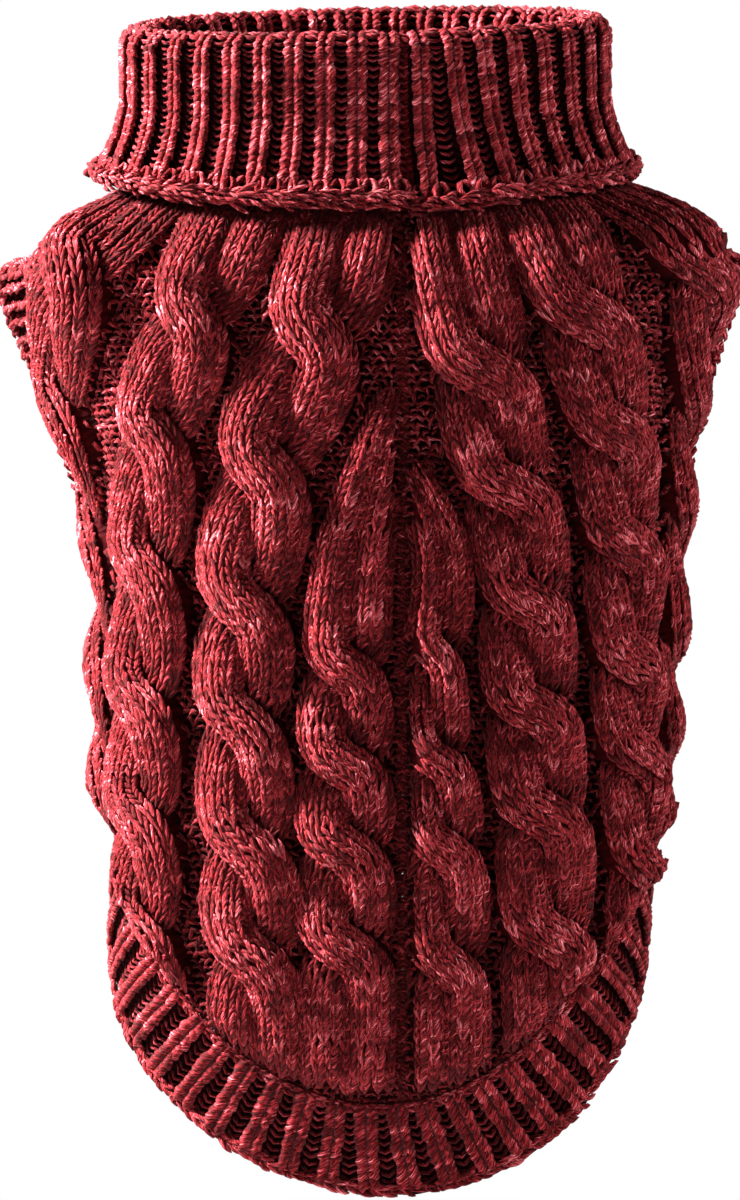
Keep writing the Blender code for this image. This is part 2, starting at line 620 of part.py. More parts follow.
def make_wall(name, outer, inner, closed, colour, collection):
    """One piece of cloth: a fine outer face, a coarser inner face and rims that join them."""
    fine = np.arange(outer.shape[0] * outer.shape[1]).reshape(outer.shape[:2])
    coarse = np.arange(inner.shape[0] * inner.shape[1]).reshape(inner.shape[:2]) + fine.size
    if closed:
        fine, coarse = closed_round(fine), closed_round(coarse)
    faces = grid_faces(fine) + grid_faces(coarse[::-1])
    rims = [(fine[:, 0], coarse[:, 0], True), (fine[:, -1], coarse[:, -1], False)]
    if not closed:
        rims += [(fine[0], coarse[0], False), (fine[-1], coarse[-1], True)]
    for fine_line, coarse_line, turned in rims:
        joined = rim_faces(fine_line.tolist(), coarse_line.tolist())
        faces += [face[::-1] for face in joined] if turned else joined
    points = np.concatenate([outer.reshape(-1, 3), inner.reshape(-1, 3)]) * MM
    mesh = bpy.data.meshes.new(name)
    mesh.from_pydata(points.tolist(), [], faces)
    face_outwards(mesh)
    mesh.shade_smooth()
    mesh.set_sharp_from_angle(angle=math.radians(60))
    mesh.materials.append(knit_material(name, colour))
    piece = bpy.data.objects.new(name, mesh)
    collection.objects.link(piece)
    return piece


def knit_material(name, colour):
    material = bpy.data.materials.new(name + "_knit")
    material.use_nodes = True
    shader = material.node_tree.nodes["Principled BSDF"]
    shader.inputs["Base Color"].default_value = colour
    shader.inputs["Roughness"].default_value = YARN_ROUGHNESS
    shader.inputs["Metallic"].default_value = 0.0
    return material


def main():
    clear_scene()
    sweater = bpy.data.collections.new("dog_sweater")
    bpy.context.scene.collection.children.link(sweater)
    make_wall("back_left", *back_panel(-1), False, YARN, sweater)
    make_wall("back_right", *back_panel(1), False, YARN, sweater)
    make_wall("belly", *belly_panel(), False, YARN_LIGHT, sweater)
    make_wall("hem_band", *hem_band(), True, YARN_LIGHT, sweater)
    make_wall("cuff_left", *cuff(-1), True, YARN_LIGHT, sweater)
    make_wall("cuff_right", *cuff(1), True, YARN_LIGHT, sweater)
    make_wall("collar", *collar(), True, YARN_LIGHT, sweater)


main()
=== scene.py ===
"""A cable-knit dog sweater in thick marled burgundy yarn, filled out as if worn, with nobody inside.

The neck is up (+Z), the garment's back faces -Y and its belly +Y. Sizes are in millimetres until a
mesh is made.
"""

import math

import bmesh
import bpy
import numpy as np
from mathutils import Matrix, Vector


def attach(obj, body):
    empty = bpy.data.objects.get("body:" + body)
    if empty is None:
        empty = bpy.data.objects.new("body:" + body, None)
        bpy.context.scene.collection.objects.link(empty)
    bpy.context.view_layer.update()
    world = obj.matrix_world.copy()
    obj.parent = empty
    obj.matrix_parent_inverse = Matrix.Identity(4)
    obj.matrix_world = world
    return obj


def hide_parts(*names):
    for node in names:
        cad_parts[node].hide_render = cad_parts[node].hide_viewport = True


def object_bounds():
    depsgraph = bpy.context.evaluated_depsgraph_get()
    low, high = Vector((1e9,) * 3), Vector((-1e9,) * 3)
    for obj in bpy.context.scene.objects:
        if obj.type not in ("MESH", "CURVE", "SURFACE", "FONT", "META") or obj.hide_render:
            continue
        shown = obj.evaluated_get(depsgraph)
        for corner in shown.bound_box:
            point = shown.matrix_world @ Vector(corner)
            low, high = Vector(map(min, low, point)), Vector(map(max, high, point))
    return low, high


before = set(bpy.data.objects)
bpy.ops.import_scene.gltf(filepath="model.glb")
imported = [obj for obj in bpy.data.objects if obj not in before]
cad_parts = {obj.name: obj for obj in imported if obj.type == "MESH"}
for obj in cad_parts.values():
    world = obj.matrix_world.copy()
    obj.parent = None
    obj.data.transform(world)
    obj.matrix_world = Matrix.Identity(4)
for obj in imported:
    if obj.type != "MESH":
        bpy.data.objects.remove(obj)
cad_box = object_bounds()
MM = 0.001


# ------------------------------------------------------------------------------------------------
# The back, in two halves of thick machine knitting in marled burgundy yarn: rope cables of two
# strands, each strand up to five stitches wide, on a purl ground. The halves are linked along the
# back seam, a little right of the neck's axis, and to the other panels at their edges.
# ------------------------------------------------------------------------------------------------

WALL = 2.4
SEAM_GAP = 0.4
CURVED_SEAM_GAP = 0.8
NECK_LEVEL = 6.0
NECK_TILT = math.radians(11.0)
NECK_ROLL = math.radians(1.4)

# Sections of the plain body. Shift is how far a section's middle lies to the right, and lean is
# the share of the neck seam's slope that it takes.
SECTIONS = (
    # level, half_width, back, belly, shift, lean
    (6.0, 59.5, 31.0, 31.0, 0.0, 1.0),
    (0.0, 64.5, 34.0, 33.5, 0.0, 1.0),
    (-4.0, 69.5, 36.0, 35.5, 0.0, 1.0),
    (-8.0, 78.5, 38.5, 37.5, 0.5, 0.95),
    (-13.0, 90.0, 41.5, 40.5, 3.0, 0.85),
    (-18.0, 96.0, 44.0, 42.5, 4.5, 0.75),
    (-25.0, 97.0, 46.5, 44.5, 1.5, 0.6),
    (-35.0, 94.5, 48.5, 46.5, 1.5, 0.4),
    (-47.0, 89.5, 50.0, 47.5, 2.0, 0.2),
    (-60.0, 85.5, 50.5, 48.0, 2.5, 0.05),
    (-80.0, 80.5, 50.5, 47.5, 4.0, 0.0),
    (-100.0, 77.5, 49.5, 46.0, 6.0, 0.0),
    (-125.0, 76.0, 48.5, 43.5, 6.0, 0.0),
    (-150.0, 75.5, 48.0, 41.5, 5.0, 0.0),
    (-180.0, 74.0, 47.5, 40.0, 5.5, 0.0),
    (-210.0, 74.0, 46.0, 38.5, 4.0, 0.0),
    (-245.0, 72.5, 43.0, 37.0, 3.5, 0.0),
    (-290.0, 71.0, 37.0, 34.0, 8.0, 0.0),
)
SECTION_POWER = 2 / 2.25
SECTION_STEPS = 241
LEVEL_STEPS = 605
SHARE_STEPS = 401
PAST_FIRST_SECTION = 4
PAST_LAST_SECTION = 2
JUST_INSIDE = 1.001
NORMAL_REACH = 1.5
SETTLING_ROUNDS = 6


def curve_through(table, level_ends=False):
    """A function that gives a table's other columns, on smooth curves, at any first column."""
    rows = np.array(table)
    way = np.sign(rows[1, 0] - rows[0, 0])
    knots = way * rows[:, 0]
    values = rows[:, 1:]
    slopes = np.gradient(values, knots, axis=0)
    if level_ends:
        slopes[0] = slopes[-1] = 0.0

    def at(first_column):
        place = np.clip(way * np.asarray(first_column, float), knots[0], knots[-1])
        first = np.clip(np.searchsorted(knots, place, side="right") - 1, 0, len(knots) - 2)
        span = (knots[first + 1] - knots[first])[..., None]
        part = (place[..., None] - knots[first][..., None]) / span
        start = (2 * part**3 - 3 * part**2 + 1) * values[first]
        end = (3 * part**2 - 2 * part**3) * values[first + 1]
        leave = (part**3 - 2 * part**2 + part) * span * slopes[first]
        arrive = (part**3 - part**2) * span * slopes[first + 1]
        return start + end + leave + arrive

    return at


def ease(value):
    """0 at 0 and below, 1 at 1 and above, smooth between."""
    part = np.clip(value, 0.0, 1.0)
    return part * part * (3 - 2 * part)


def unit(vectors):
    return vectors / np.linalg.norm(vectors, axis=-1, keepdims=True)


def running_length(steps):
    """The length run at each point of a line, from the lengths of its steps."""
    return np.concatenate([[0.0], np.cumsum(steps)])


def once_round(share):
    """A share of the way round the body, brought back between -1 and 1."""
    return (share + 1) % 2 - 1


section_at = curve_through(SECTIONS)


def half_sections():
    """Half of each section from mid back to mid belly, at even shares of its length."""
    levels = np.linspace(
        SECTIONS[-1][0] - PAST_LAST_SECTION, SECTIONS[0][0] + PAST_FIRST_SECTION, LEVEL_STEPS)
    shares = np.linspace(0.0, 1.0, SHARE_STEPS)
    sweep = np.linspace(0.0, math.pi, SECTION_STEPS)
    forth = np.cos(sweep)
    outlines, girths = [], []
    for half_width, back, belly in section_at(levels)[:, :3]:
        x = half_width * np.sin(sweep) ** SECTION_POWER
        rounded = np.sign(forth) * np.abs(forth) ** SECTION_POWER
        y = (belly - back) / 2 - (belly + back) / 2 * rounded
        run = running_length(np.hypot(np.diff(x), np.diff(y)))
        wanted = shares * run[-1]
        outlines.append(np.stack([np.interp(wanted, run, x), np.interp(wanted, run, y)], axis=-1))
        girths.append(run[-1])
    return levels, np.array(outlines), np.array(girths)


SECTION_LEVELS, OUTLINES, HALF_GIRTHS = half_sections()


def half_girth(level):
    return np.interp(level, SECTION_LEVELS, HALF_GIRTHS)


def body_point(share, level):
    """Points of the plain body. A share past 1 goes on round the belly."""
    share, level = np.broadcast_arrays(np.asarray(share, float), np.asarray(level, float))
    turned = once_round(share)
    row = (level - SECTION_LEVELS[0]) / (SECTION_LEVELS[1] - SECTION_LEVELS[0])
    row = np.clip(row, 0, LEVEL_STEPS - JUST_INSIDE)
    column = np.clip(np.abs(turned) * (SHARE_STEPS - 1), 0, SHARE_STEPS - JUST_INSIDE)
    low, near = row.astype(int), column.astype(int)
    up, on = (row - low)[..., None], (column - near)[..., None]
    lower = OUTLINES[low, near] * (1 - on) + OUTLINES[low, near + 1] * on
    upper = OUTLINES[low + 1, near] * (1 - on) + OUTLINES[low + 1, near + 1] * on
    across, deep = np.moveaxis(lower * (1 - up) + upper * up, -1, 0)
    shift, lean = np.moveaxis(section_at(level)[..., 3:], -1, 0)
    right = shift + across * np.sign(turned)
    slope = math.tan(NECK_TILT) * deep + math.tan(NECK_ROLL) * right
    return np.stack([right, deep, level + lean * slope], axis=-1)


def body_normal(share, level):
    """Unit vectors out of the body."""
    share_step = NORMAL_REACH / half_girth(level)
    around = body_point(share + share_step, level) - body_point(share - share_step, level)
    down = body_point(share, level - NORMAL_REACH) - body_point(share, level + NORMAL_REACH)
    return unit(np.cross(down, around))


def body_place(across, height):
    """The share and level of places given across from the neck's axis and by true height."""
    level = np.array(height, float)
    for _ in range(SETTLING_ROUNDS):
        share = (across - section_at(level)[..., 3]) / half_girth(level)
        level = level + height - body_point(share, level)[..., 2]
    return share, level


# The seams and the leg holes.
BACK_SEAM = 10.3
SIDE_SEAM_NECK_SHARE = 0.55
SIDE_SEAM_WAIST_SHARE = 0.61
HOLE_LEVEL = -60.0
HOLE_HALF_HEIGHT = 34.0
HOLE_SHARE_TO_BACK = 0.03
HOLE_SHARE_TO_BELLY = 0.16
LEAST_STEEPNESS = 1e-6


def hole_width(level):
    """1 at the middle of a leg hole's height, 0 at its ends and beyond."""
    return np.sqrt(np.clip(1 - ((level - HOLE_LEVEL) / HOLE_HALF_HEIGHT) ** 2, 0.0, None))


def side_seam(level):
    """The side seam's share at each level."""
    passed = ease((HOLE_LEVEL + HOLE_HALF_HEIGHT - level) / (2 * HOLE_HALF_HEIGHT))
    return SIDE_SEAM_NECK_SHARE + (SIDE_SEAM_WAIST_SHARE - SIDE_SEAM_NECK_SHARE) * passed


def away_from_hole(share, level):
    """Roughly how far each place on the cloth lies outside the nearer leg hole's edge."""
    girth = half_girth(level)
    across = (np.abs(once_round(share)) - side_seam(level)) * girth
    reach = np.where(across > 0, HOLE_SHARE_TO_BELLY, HOLE_SHARE_TO_BACK) * girth
    above = level - HOLE_LEVEL
    ratio = np.hypot(across / reach, above / HOLE_HALF_HEIGHT)
    steepness = np.hypot(across / reach**2, above / HOLE_HALF_HEIGHT**2)
    return (ratio - 1) * ratio / np.maximum(steepness, LEAST_STEEPNESS)


# The hem's line, and the band that is picked up along it.
HEM_LINE = (
    # share, level
    (0.0, -282.0),
    (0.1, -280.0),
    (0.2, -273.5),
    (0.3, -261.5),
    (0.4, -242.0),
    (0.5, -218.0),
    (0.6, -198.0),
    (0.7, -184.0),
    (0.85, -173.0),
    (1.0, -170.0),
)
HEM_SAMPLES = 721
HEM_BAND_BACK = 24.0
HEM_BAND_BELLY = 20.0

hem_line = curve_through(HEM_LINE, level_ends=True)


def hem_edge():
    """The hem's edge once round, as across, level and the unit step towards the body."""
    share = np.linspace(-1.0, 1.0, HEM_SAMPLES)
    level = hem_line(np.abs(share))[..., 0]
    across = share * half_girth(level)
    step = unit(np.stack([np.gradient(across), np.gradient(level)], axis=-1))
    return across, level, np.stack([-step[:, 1], step[:, 0]], axis=-1)


def hem_band_width(share):
    return HEM_BAND_BELLY + (HEM_BAND_BACK - HEM_BAND_BELLY) * (1 + np.cos(math.pi * share)) / 2


def band_top():
    """The line where the hem band meets the panels, as shares and levels."""
    across, level, inward = hem_edge()
    width = hem_band_width(np.linspace(-1.0, 1.0, HEM_SAMPLES))
    top_level = level + inward[:, 1] * width
    return (across + inward[:, 0] * width) / half_girth(top_level), top_level


BAND_TOP_SHARES, BAND_TOP_LEVELS = band_top()


def panel_bottom(share):
    """The level at which the panels end, a seam's gap above the hem band."""
    return np.interp(once_round(share), BAND_TOP_SHARES, BAND_TOP_LEVELS) + CURVED_SEAM_GAP


# The cables: the middle line of each of the eight at a few heights, round the cloth from the
# neck's axis, how wide it is, and the heights at which its left strand crosses the right one.
CABLE_LINES = (
    # height, far left, left, near left, seam left, seam right, near right, right, far right
    (4.0, -56.5, -30.0, -3.0, 10.0, 10.6, 20.5, 41.0, 65.0),
    (-24.0, -78.5, -38.5, -6.0, 10.0, 10.6, 24.0, 53.0, 96.0),
    (-51.0, -94.0, -50.0, -14.5, 9.8, 10.6, 30.0, 63.0, 106.0),
    (-78.0, -101.5, -58.5, -25.0, 4.0, 11.5, 36.0, 70.0, 110.0),
    (-105.0, -103.5, -62.0, -30.5, -2.2, 20.3, 42.0, 73.5, 111.0),
    (-146.0, -102.5, -64.5, -33.0, -5.0, 18.0, 45.0, 76.5, 110.0),
    (-187.0, -101.0, -65.0, -31.5, -5.0, 21.5, 49.0, 80.5, 108.0),
    (-228.0, -99.0, -62.5, -29.5, -4.5, 22.0, 50.5, 81.5, 107.0),
    (-285.0, -94.0, -50.0, -28.5, -4.0, 22.5, 50.0, 80.5, 104.0),
)
CABLE_WIDTHS = (
    # height, far left, left, near left, seam left, seam right, near right, right, far right
    (4.0, 1.25, 1.05, 1.05, 0.72, 0.52, 1.0, 1.0, 1.1),
    (-60.0, 1.15, 1.0, 1.15, 0.72, 0.52, 1.02, 1.0, 1.1),
    (-105.0, 1.1, 1.0, 1.05, 0.76, 0.56, 0.94, 1.0, 1.1),
    (-150.0, 1.1, 1.0, 0.95, 0.9, 0.7, 0.96, 0.97, 1.1),
    (-200.0, 1.1, 0.97, 0.98, 0.95, 0.82, 0.98, 0.95, 1.0),
    (-285.0, 1.0, 0.9, 0.92, 0.8, 0.78, 0.82, 0.9, 1.0),
)
CABLE_CROSSINGS = (
    # heights, one row for each cable from far left to far right
    (-29.0, -65.0, -98.0, -131.0, -164.0, -197.0),
    (-43.0, -74.0, -111.0, -147.0, -179.0, -210.0),
    (-48.0, -84.0, -121.0, -152.0, -186.0, -216.0),
    (-138.0, -164.0, -187.0, -214.0),
    (-134.0, -163.0, -187.0, -218.0),
    (-57.0, -89.0, -120.0, -149.0, -178.0, -211.0),
    (-42.0, -73.0, -104.0, -136.0, -162.0, -193.0, -222.0),
    (-27.0, -63.0, -94.0, -130.0, -157.0, -190.0),
)
# For each cable again: where its strands start to rise, over what length they part, and how
# sharply they swap places.
CABLE_STARTS = (90.0, 90.0, 90.0, -57.0, -77.0, 90.0, 90.0, 90.0)
CABLE_GROWTHS = (50.0, 50.0, 50.0, 50.0, 27.0, 50.0, 50.0, 50.0)
CABLE_SNAPS = (1.4, 1.5, 1.5, 1.8, 2.0, 2.6, 2.6, 2.4)
CABLE_GROWTH_POWER = 0.5
CABLE_RISE = 12.0
STRAND_HALF_WIDTH = 8.5
STRAND_NARROWING = 0.7
STRAND_LEAST_WIDTH = 1.0
STRAND_SWING = 6.9
STRAND_HEIGHT = 6.2
STRAND_ROUNDNESS = 0.58
STRAND_LIFT = 3.1
STRAND_TOP = 24.0
STRAND_FOOT = -300.0
STRAND_STEP = 0.75
SEAM_FADE = 5.0
HOLE_FADE = 4.0
NECK_FADE = 30.0
HEM_FADE = 10.0
CUFF_MARGIN = 4.8

cable_lines = curve_through(CABLE_LINES)
cable_widths = curve_through(CABLE_WIDTHS)


def crossings_passed(height, crossings):
    """How many crossings lie above each height, with halves where the strands lie side by side."""
    heights = np.array(crossings)
    half_pitch = (heights[0] - heights[-1]) / (len(heights) - 1) / 2
    knots = np.concatenate([[heights[0] + half_pitch], heights, [heights[-1] - half_pitch]])
    counts = np.concatenate([[-0.5], np.arange(len(heights)), [len(heights) - 0.5]])
    return np.interp(-height, -knots, counts)


def strand_line(cable, side):
    """A strand's middle line, as across and height, its half width and its crown's height."""
    height = np.arange(STRAND_TOP, STRAND_FOOT, -STRAND_STEP)
    phase = math.pi * crossings_passed(height, CABLE_CROSSINGS[cable])
    passed = CABLE_STARTS[cable] - height
    growth = np.clip(passed / CABLE_GROWTHS[cable], 0.0, 1.0) ** CABLE_GROWTH_POWER
    width = cable_widths(height)[:, cable]
    snap = CABLE_SNAPS[cable]
    swing = STRAND_SWING * np.tanh(snap * np.sin(phase)) / math.tanh(snap)
    full_width = STRAND_HALF_WIDTH - STRAND_NARROWING * np.cos(phase) ** 2
    half_width = STRAND_LEAST_WIDTH + (full_width - STRAND_LEAST_WIDTH) * growth
    crown = (STRAND_HEIGHT + side * STRAND_LIFT * np.cos(phase)) * ease(passed / CABLE_RISE)
    across = cable_lines(height)[:, cable] + side * swing * growth * width
    return np.stack([across, height], axis=-1), half_width * width, crown


STRANDS = {
    (cable, side): strand_line(cable, side)
    for cable in range(len(CABLE_CROSSINGS)) for side in (1, -1)
}


def strand_relief(strand, across, height):
    """How far one strand, a rope on its line, stands out of the plain cloth."""
    line, half_width, crown = STRANDS[strand]
    away = np.hypot(across[..., None] - line[:, 0], height[..., None] - line[:, 1])
    nearest = away.argmin(axis=-1)
    offset = away.min(axis=-1) / half_width[nearest]
    return np.clip(1 - offset**2, 0.0, None) ** STRAND_ROUNDNESS * crown[nearest]


def cable_relief(across, height):
    return np.max([strand_relief(strand, across, height) for strand in STRANDS], axis=0)


def back_edge(level):
    """How far round from mid back the outer edge of a half of the back lies."""
    edge = side_seam(level) - HOLE_SHARE_TO_BACK * hole_width(level)
    return edge * half_girth(level) - CURVED_SEAM_GAP / 2


def back_fade(share, level):
    """0 at the edges of a half of the back, 1 where the cables stand at their full height."""
    across = share * half_girth(level)
    from_seam = np.abs(across + section_at(level)[..., 3] - BACK_SEAM) - SEAM_GAP / 2
    fade = ease(from_seam / SEAM_FADE) * ease((back_edge(level) - np.abs(across)) / SEAM_FADE)
    fade = fade * ease((NECK_LEVEL - level) / NECK_FADE)
    fade = fade * ease((level - panel_bottom(share)) / HEM_FADE)
    return fade * ease((away_from_hole(share, level) - CUFF_MARGIN) / HOLE_FADE)


# The backing: the loops at the root of the stitches, as one wall that the stitches stand on.
STITCH_ROOT = 1.7
BACK_ROOT = 0.9
BARE_BELOW = 2.0
COVERED_ABOVE = 4.6
BACK_COLUMNS = 72
BACK_ROWS = 150
INNER_STEP = 3
WALE = 3.1
COURSE = 2.5


def rim_faces(fine, coarse):
    """Triangles that join a fine line of vertices to a coarse one beside it."""
    step = (len(fine) - 1) // (len(coarse) - 1)
    faces = []
    for index in range(len(coarse) - 1):
        here, there = coarse[index], coarse[index + 1]
        chain = fine[index * step:(index + 1) * step + 1]
        middle = step // 2
        faces += [(chain[k], chain[k + 1], here) for k in range(middle)]
        faces += [(chain[k], chain[k + 1], there) for k in range(middle, step)]
        faces.append((chain[middle], there, here))
    return faces


def grid_faces(numbers):
    corners = (numbers[:-1, :-1], numbers[1:, :-1], numbers[1:, 1:], numbers[:-1, 1:])
    return np.stack(corners, axis=-1).reshape(-1, 4).tolist()


def add_object(name, data):
    """A new object, in the scene."""
    made = bpy.data.objects.new(name, data)
    bpy.context.scene.collection.objects.link(made)
    return made


def make_backing(name, outer, inner, stitches_on, closed, covered=None):
    """A wall of cloth, rough with stitch roots outside and showing its wrong side inside, with a
    map that counts stitches. Covered is how far each outer point hides under stitches."""
    fine = np.arange(outer.shape[0] * outer.shape[1]).reshape(outer.shape[:2])
    coarse = np.arange(inner.shape[0] * inner.shape[1]).reshape(inner.shape[:2]) + fine.size
    if closed:
        fine, coarse = np.concatenate([fine, fine[:1]]), np.concatenate([coarse, coarse[:1]])
    outer_faces, inner_faces = grid_faces(fine), grid_faces(coarse[::-1])
    rims = [(fine[:, 0], coarse[:, 0], True), (fine[:, -1], coarse[:, -1], False)]
    if not closed:
        rims += [(fine[0], coarse[0], False), (fine[-1], coarse[-1], True)]
    rim = []
    for fine_line, coarse_line, turned in rims:
        joined = rim_faces(fine_line.tolist(), coarse_line.tolist())
        rim += [face[::-1] for face in joined] if turned else joined
    faces = outer_faces + rim + inner_faces
    points = np.concatenate([outer.reshape(-1, 3), inner.reshape(-1, 3)]) * MM
    inner_counts = stitches_on[::INNER_STEP, ::INNER_STEP]
    counts = np.concatenate([stitches_on.reshape(-1, 2), inner_counts.reshape(-1, 2)])
    mesh = bpy.data.meshes.new(name)
    mesh.from_pydata(points.tolist(), [], [tuple(face) for face in faces])
    # The roots' colour is painted shade, picked by the covered attribute: blackest where bare.
    mesh.materials.append(shaded_roots)
    mesh.materials.append(wrong_side)
    sides = [0] * len(outer_faces) + [1] * (len(rim) + len(inner_faces))
    mesh.polygons.foreach_set("material_index", sides)
    work = bmesh.new()
    work.from_mesh(mesh)
    bmesh.ops.recalc_face_normals(work, faces=work.faces)
    work.to_mesh(mesh)
    work.free()
    knit_map = mesh.uv_layers.new(name="stitches")
    corners = np.empty(len(mesh.loops), int)
    mesh.loops.foreach_get("vertex_index", corners)
    mapped = counts[corners]
    if closed:
        # The faces that close the ring count on from its last stitch.
        ring = (counts[:, 0].max() - counts[:, 0].min()) * len(outer) / (len(outer) - 1)
        for face in mesh.polygons:
            those = mapped[face.loop_start:face.loop_start + face.loop_total]
            those[those[:, 0].max() - those[:, 0] > ring / 2, 0] += ring
    knit_map.data.foreach_set("uv", mapped.ravel())
    if covered is not None:
        covered = np.concatenate([covered.ravel(), np.zeros(inner.shape[0] * inner.shape[1])])
        mesh.attributes.new("covered", "FLOAT", "POINT").data.foreach_set("value", covered)
    mesh.shade_smooth()
    piece = add_object(name, mesh)
    return piece


def back_grid(side):
    """Shares and levels over half of the back, in columns that follow the seams and the hem."""
    drop = np.linspace(0.0, 1.0, BACK_ROWS + 1)[None, :]
    part = np.linspace(0.0, 1.0, BACK_COLUMNS + 1)[:, None]
    share = side * 0.5 * part
    for _ in range(SETTLING_ROUNDS):
        level = NECK_LEVEL + (panel_bottom(share) - NECK_LEVEL) * drop
        inside = BACK_SEAM - section_at(level)[..., 3] + side * SEAM_GAP / 2
        outside = side * back_edge(level)
        share = (inside + (outside - inside) * part) / half_girth(level)
    return share, level


# The yarn: soft acrylic of two plies wound round each other, one lighter than the other, streaked
# and mottled, with a matt bloom of fibres. Its palest, pinkest streaks are partly the marl's light
# fibres and partly painted highlights.
YARN_SHADES = (
    # place, red, green, blue
    (0.12, 0.030, 0.0003, 0.0006),
    (0.42, 0.165, 0.0050, 0.0075),
    (0.66, 0.430, 0.0380, 0.0480),
    (0.95, 0.950, 0.3600, 0.4000),
)
YARN_BLOOM = (1.0, 0.42, 0.44, 1.0)
PLIES = 2
PLY_TWIST = 1.4
PLY_LIGHTNESS = 0.14
PLY_RELIEF = 0.35
FIBRE_ROUND = 7.0
FIBRE_ALONG = 1.6
FIBRE_APART = 37.0
STREAK_RANGE = (0.42, 0.64)
STREAK_LIGHTNESS = 0.56
MOTTLE_SCALE = 210.0
MOTTLE_RANGE = (0.35, 0.68)
MOTTLE_LIGHTNESS = 0.16
TONE_LIGHTNESS = 0.5
YARN_RELIEF = 0.35


def add_node(tree, kind, inputs=None, **settings):
    """A new node with its settings, and its inputs as values or as other nodes' outputs."""
    made = tree.nodes.new(kind)
    for name, value in settings.items():
        setattr(made, name, value)
    fill_inputs(tree, made, inputs or {})
    return made


def fill_inputs(tree, node, inputs):
    """Sets a node's inputs, by name or number, to values or to other nodes' outputs."""
    for name, value in inputs.items():
        if isinstance(value, bpy.types.NodeSocket):
            tree.links.new(value, node.inputs[name])
        else:
            node.inputs[name].default_value = value


def calculate(tree, operation, *values):
    """A Math node on outputs or numbers, as its output."""
    return add_node(tree, "ShaderNodeMath", dict(enumerate(values)), operation=operation).outputs[0]


def wave(tree, turns, rate=1):
    """The sine of so many whole turns."""
    return calculate(tree, "SINE", calculate(tree, "MULTIPLY", turns, 2 * math.pi * rate))


def add_weighted(tree, total, *parts):
    """An output with others added to it, each times its weight."""
    for part, weight in parts:
        total = calculate(tree, "ADD", total, calculate(tree, "MULTIPLY", part, weight))
    return total


def noise(tree, place, scale, detail):
    """A Noise node's output at a place."""
    inputs = {"Vector": place, "Scale": scale, "Detail": detail}
    return add_node(tree, "ShaderNodeTexNoise", inputs).outputs["Fac"]


def fitted(tree, value, low, high):
    """A value from low to high as one from 0 to 1."""
    inputs = {"Value": value, "From Min": low, "From Max": high}
    return add_node(tree, "ShaderNodeMapRange", inputs).outputs[0]


def blend_colours(tree, share, first, second):
    """A Mix node from one colour to another, as its output."""
    inputs = {0: share, 6: first, 7: second}
    return add_node(tree, "ShaderNodeMix", inputs, data_type="RGBA").outputs[2]


def begin_material(name, uv_map):
    """A new material with its tree, a map's two directions and the place on the object."""
    material = bpy.data.materials.new(name)
    material.use_nodes = True
    tree = material.node_tree
    given = add_node(tree, "ShaderNodeUVMap", uv_map=uv_map)
    apart = add_node(tree, "ShaderNodeSeparateXYZ", {0: given.outputs[0]})
    place = add_node(tree, "ShaderNodeTexCoord").outputs["Object"]
    return material, tree, apart.outputs[0], apart.outputs[1], place


def finish_material(tree, height, strength, relief, looks):
    """Gives the shader its looks, and its surface a relief of so many millimetres."""
    bump = add_node(tree, "ShaderNodeBump", {
        "Strength": strength, "Distance": relief * MM, "Height": height})
    looks = {"Sheen Tint": YARN_BLOOM, "Normal": bump.outputs[0], **looks}
    fill_inputs(tree, tree.nodes["Principled BSDF"], looks)


def yarn_material(name):
    """Two plies wound round each other, streaked with fibres, lighter or darker from place to place."""
    material, tree, around, along, place = begin_material(name, "wound")
    turn = add_weighted(tree, calculate(tree, "MULTIPLY", around, PLIES), (along, PLY_TWIST))
    plies = calculate(tree, "MULTIPLY_ADD", wave(tree, turn), 0.5, 0.5)
    # The stitches' tone: random from stitch to stitch, with painted shade where they lie deep.
    tone_and_shade = add_node(tree, "ShaderNodeAttribute", attribute_name="tone_and_shade").outputs["Fac"]
    fibre_place = add_node(tree, "ShaderNodeCombineXYZ", {
        0: calculate(tree, "MULTIPLY", turn, FIBRE_ROUND),
        1: calculate(tree, "MULTIPLY", along, FIBRE_ALONG),
        2: calculate(tree, "MULTIPLY", tone_and_shade, FIBRE_APART),
    })
    # Streaks of light fibres, partly the marl and partly painted highlights.
    streak = fitted(tree, noise(tree, fibre_place.outputs[0], scale=1.0, detail=3.0), *STREAK_RANGE)
    mottle = fitted(tree, noise(tree, place, MOTTLE_SCALE, detail=2.0), *MOTTLE_RANGE)
    lightness = add_weighted(
        tree, calculate(tree, "MULTIPLY", plies, PLY_LIGHTNESS), (streak, STREAK_LIGHTNESS),
        (mottle, MOTTLE_LIGHTNESS), (calculate(tree, "SUBTRACT", tone_and_shade, 0.5), TONE_LIGHTNESS))
    ramp = add_node(tree, "ShaderNodeValToRGB", {0: lightness})
    stops = ramp.color_ramp.elements
    stops.remove(stops[1])
    for index, (position, *shade) in enumerate(YARN_SHADES):
        stop = stops.new(position) if index else stops[0]
        stop.position, stop.color = position, (*shade, 1.0)
    height = calculate(tree, "ADD", calculate(tree, "MULTIPLY", plies, PLY_RELIEF), streak)
    finish_material(tree, height, 0.7, YARN_RELIEF, {
        "Base Color": ramp.outputs[0], "Roughness": 0.75, "Specular IOR Level": 0.05,
        "Sheen Weight": 0.09, "Sheen Roughness": 0.45})
    return material


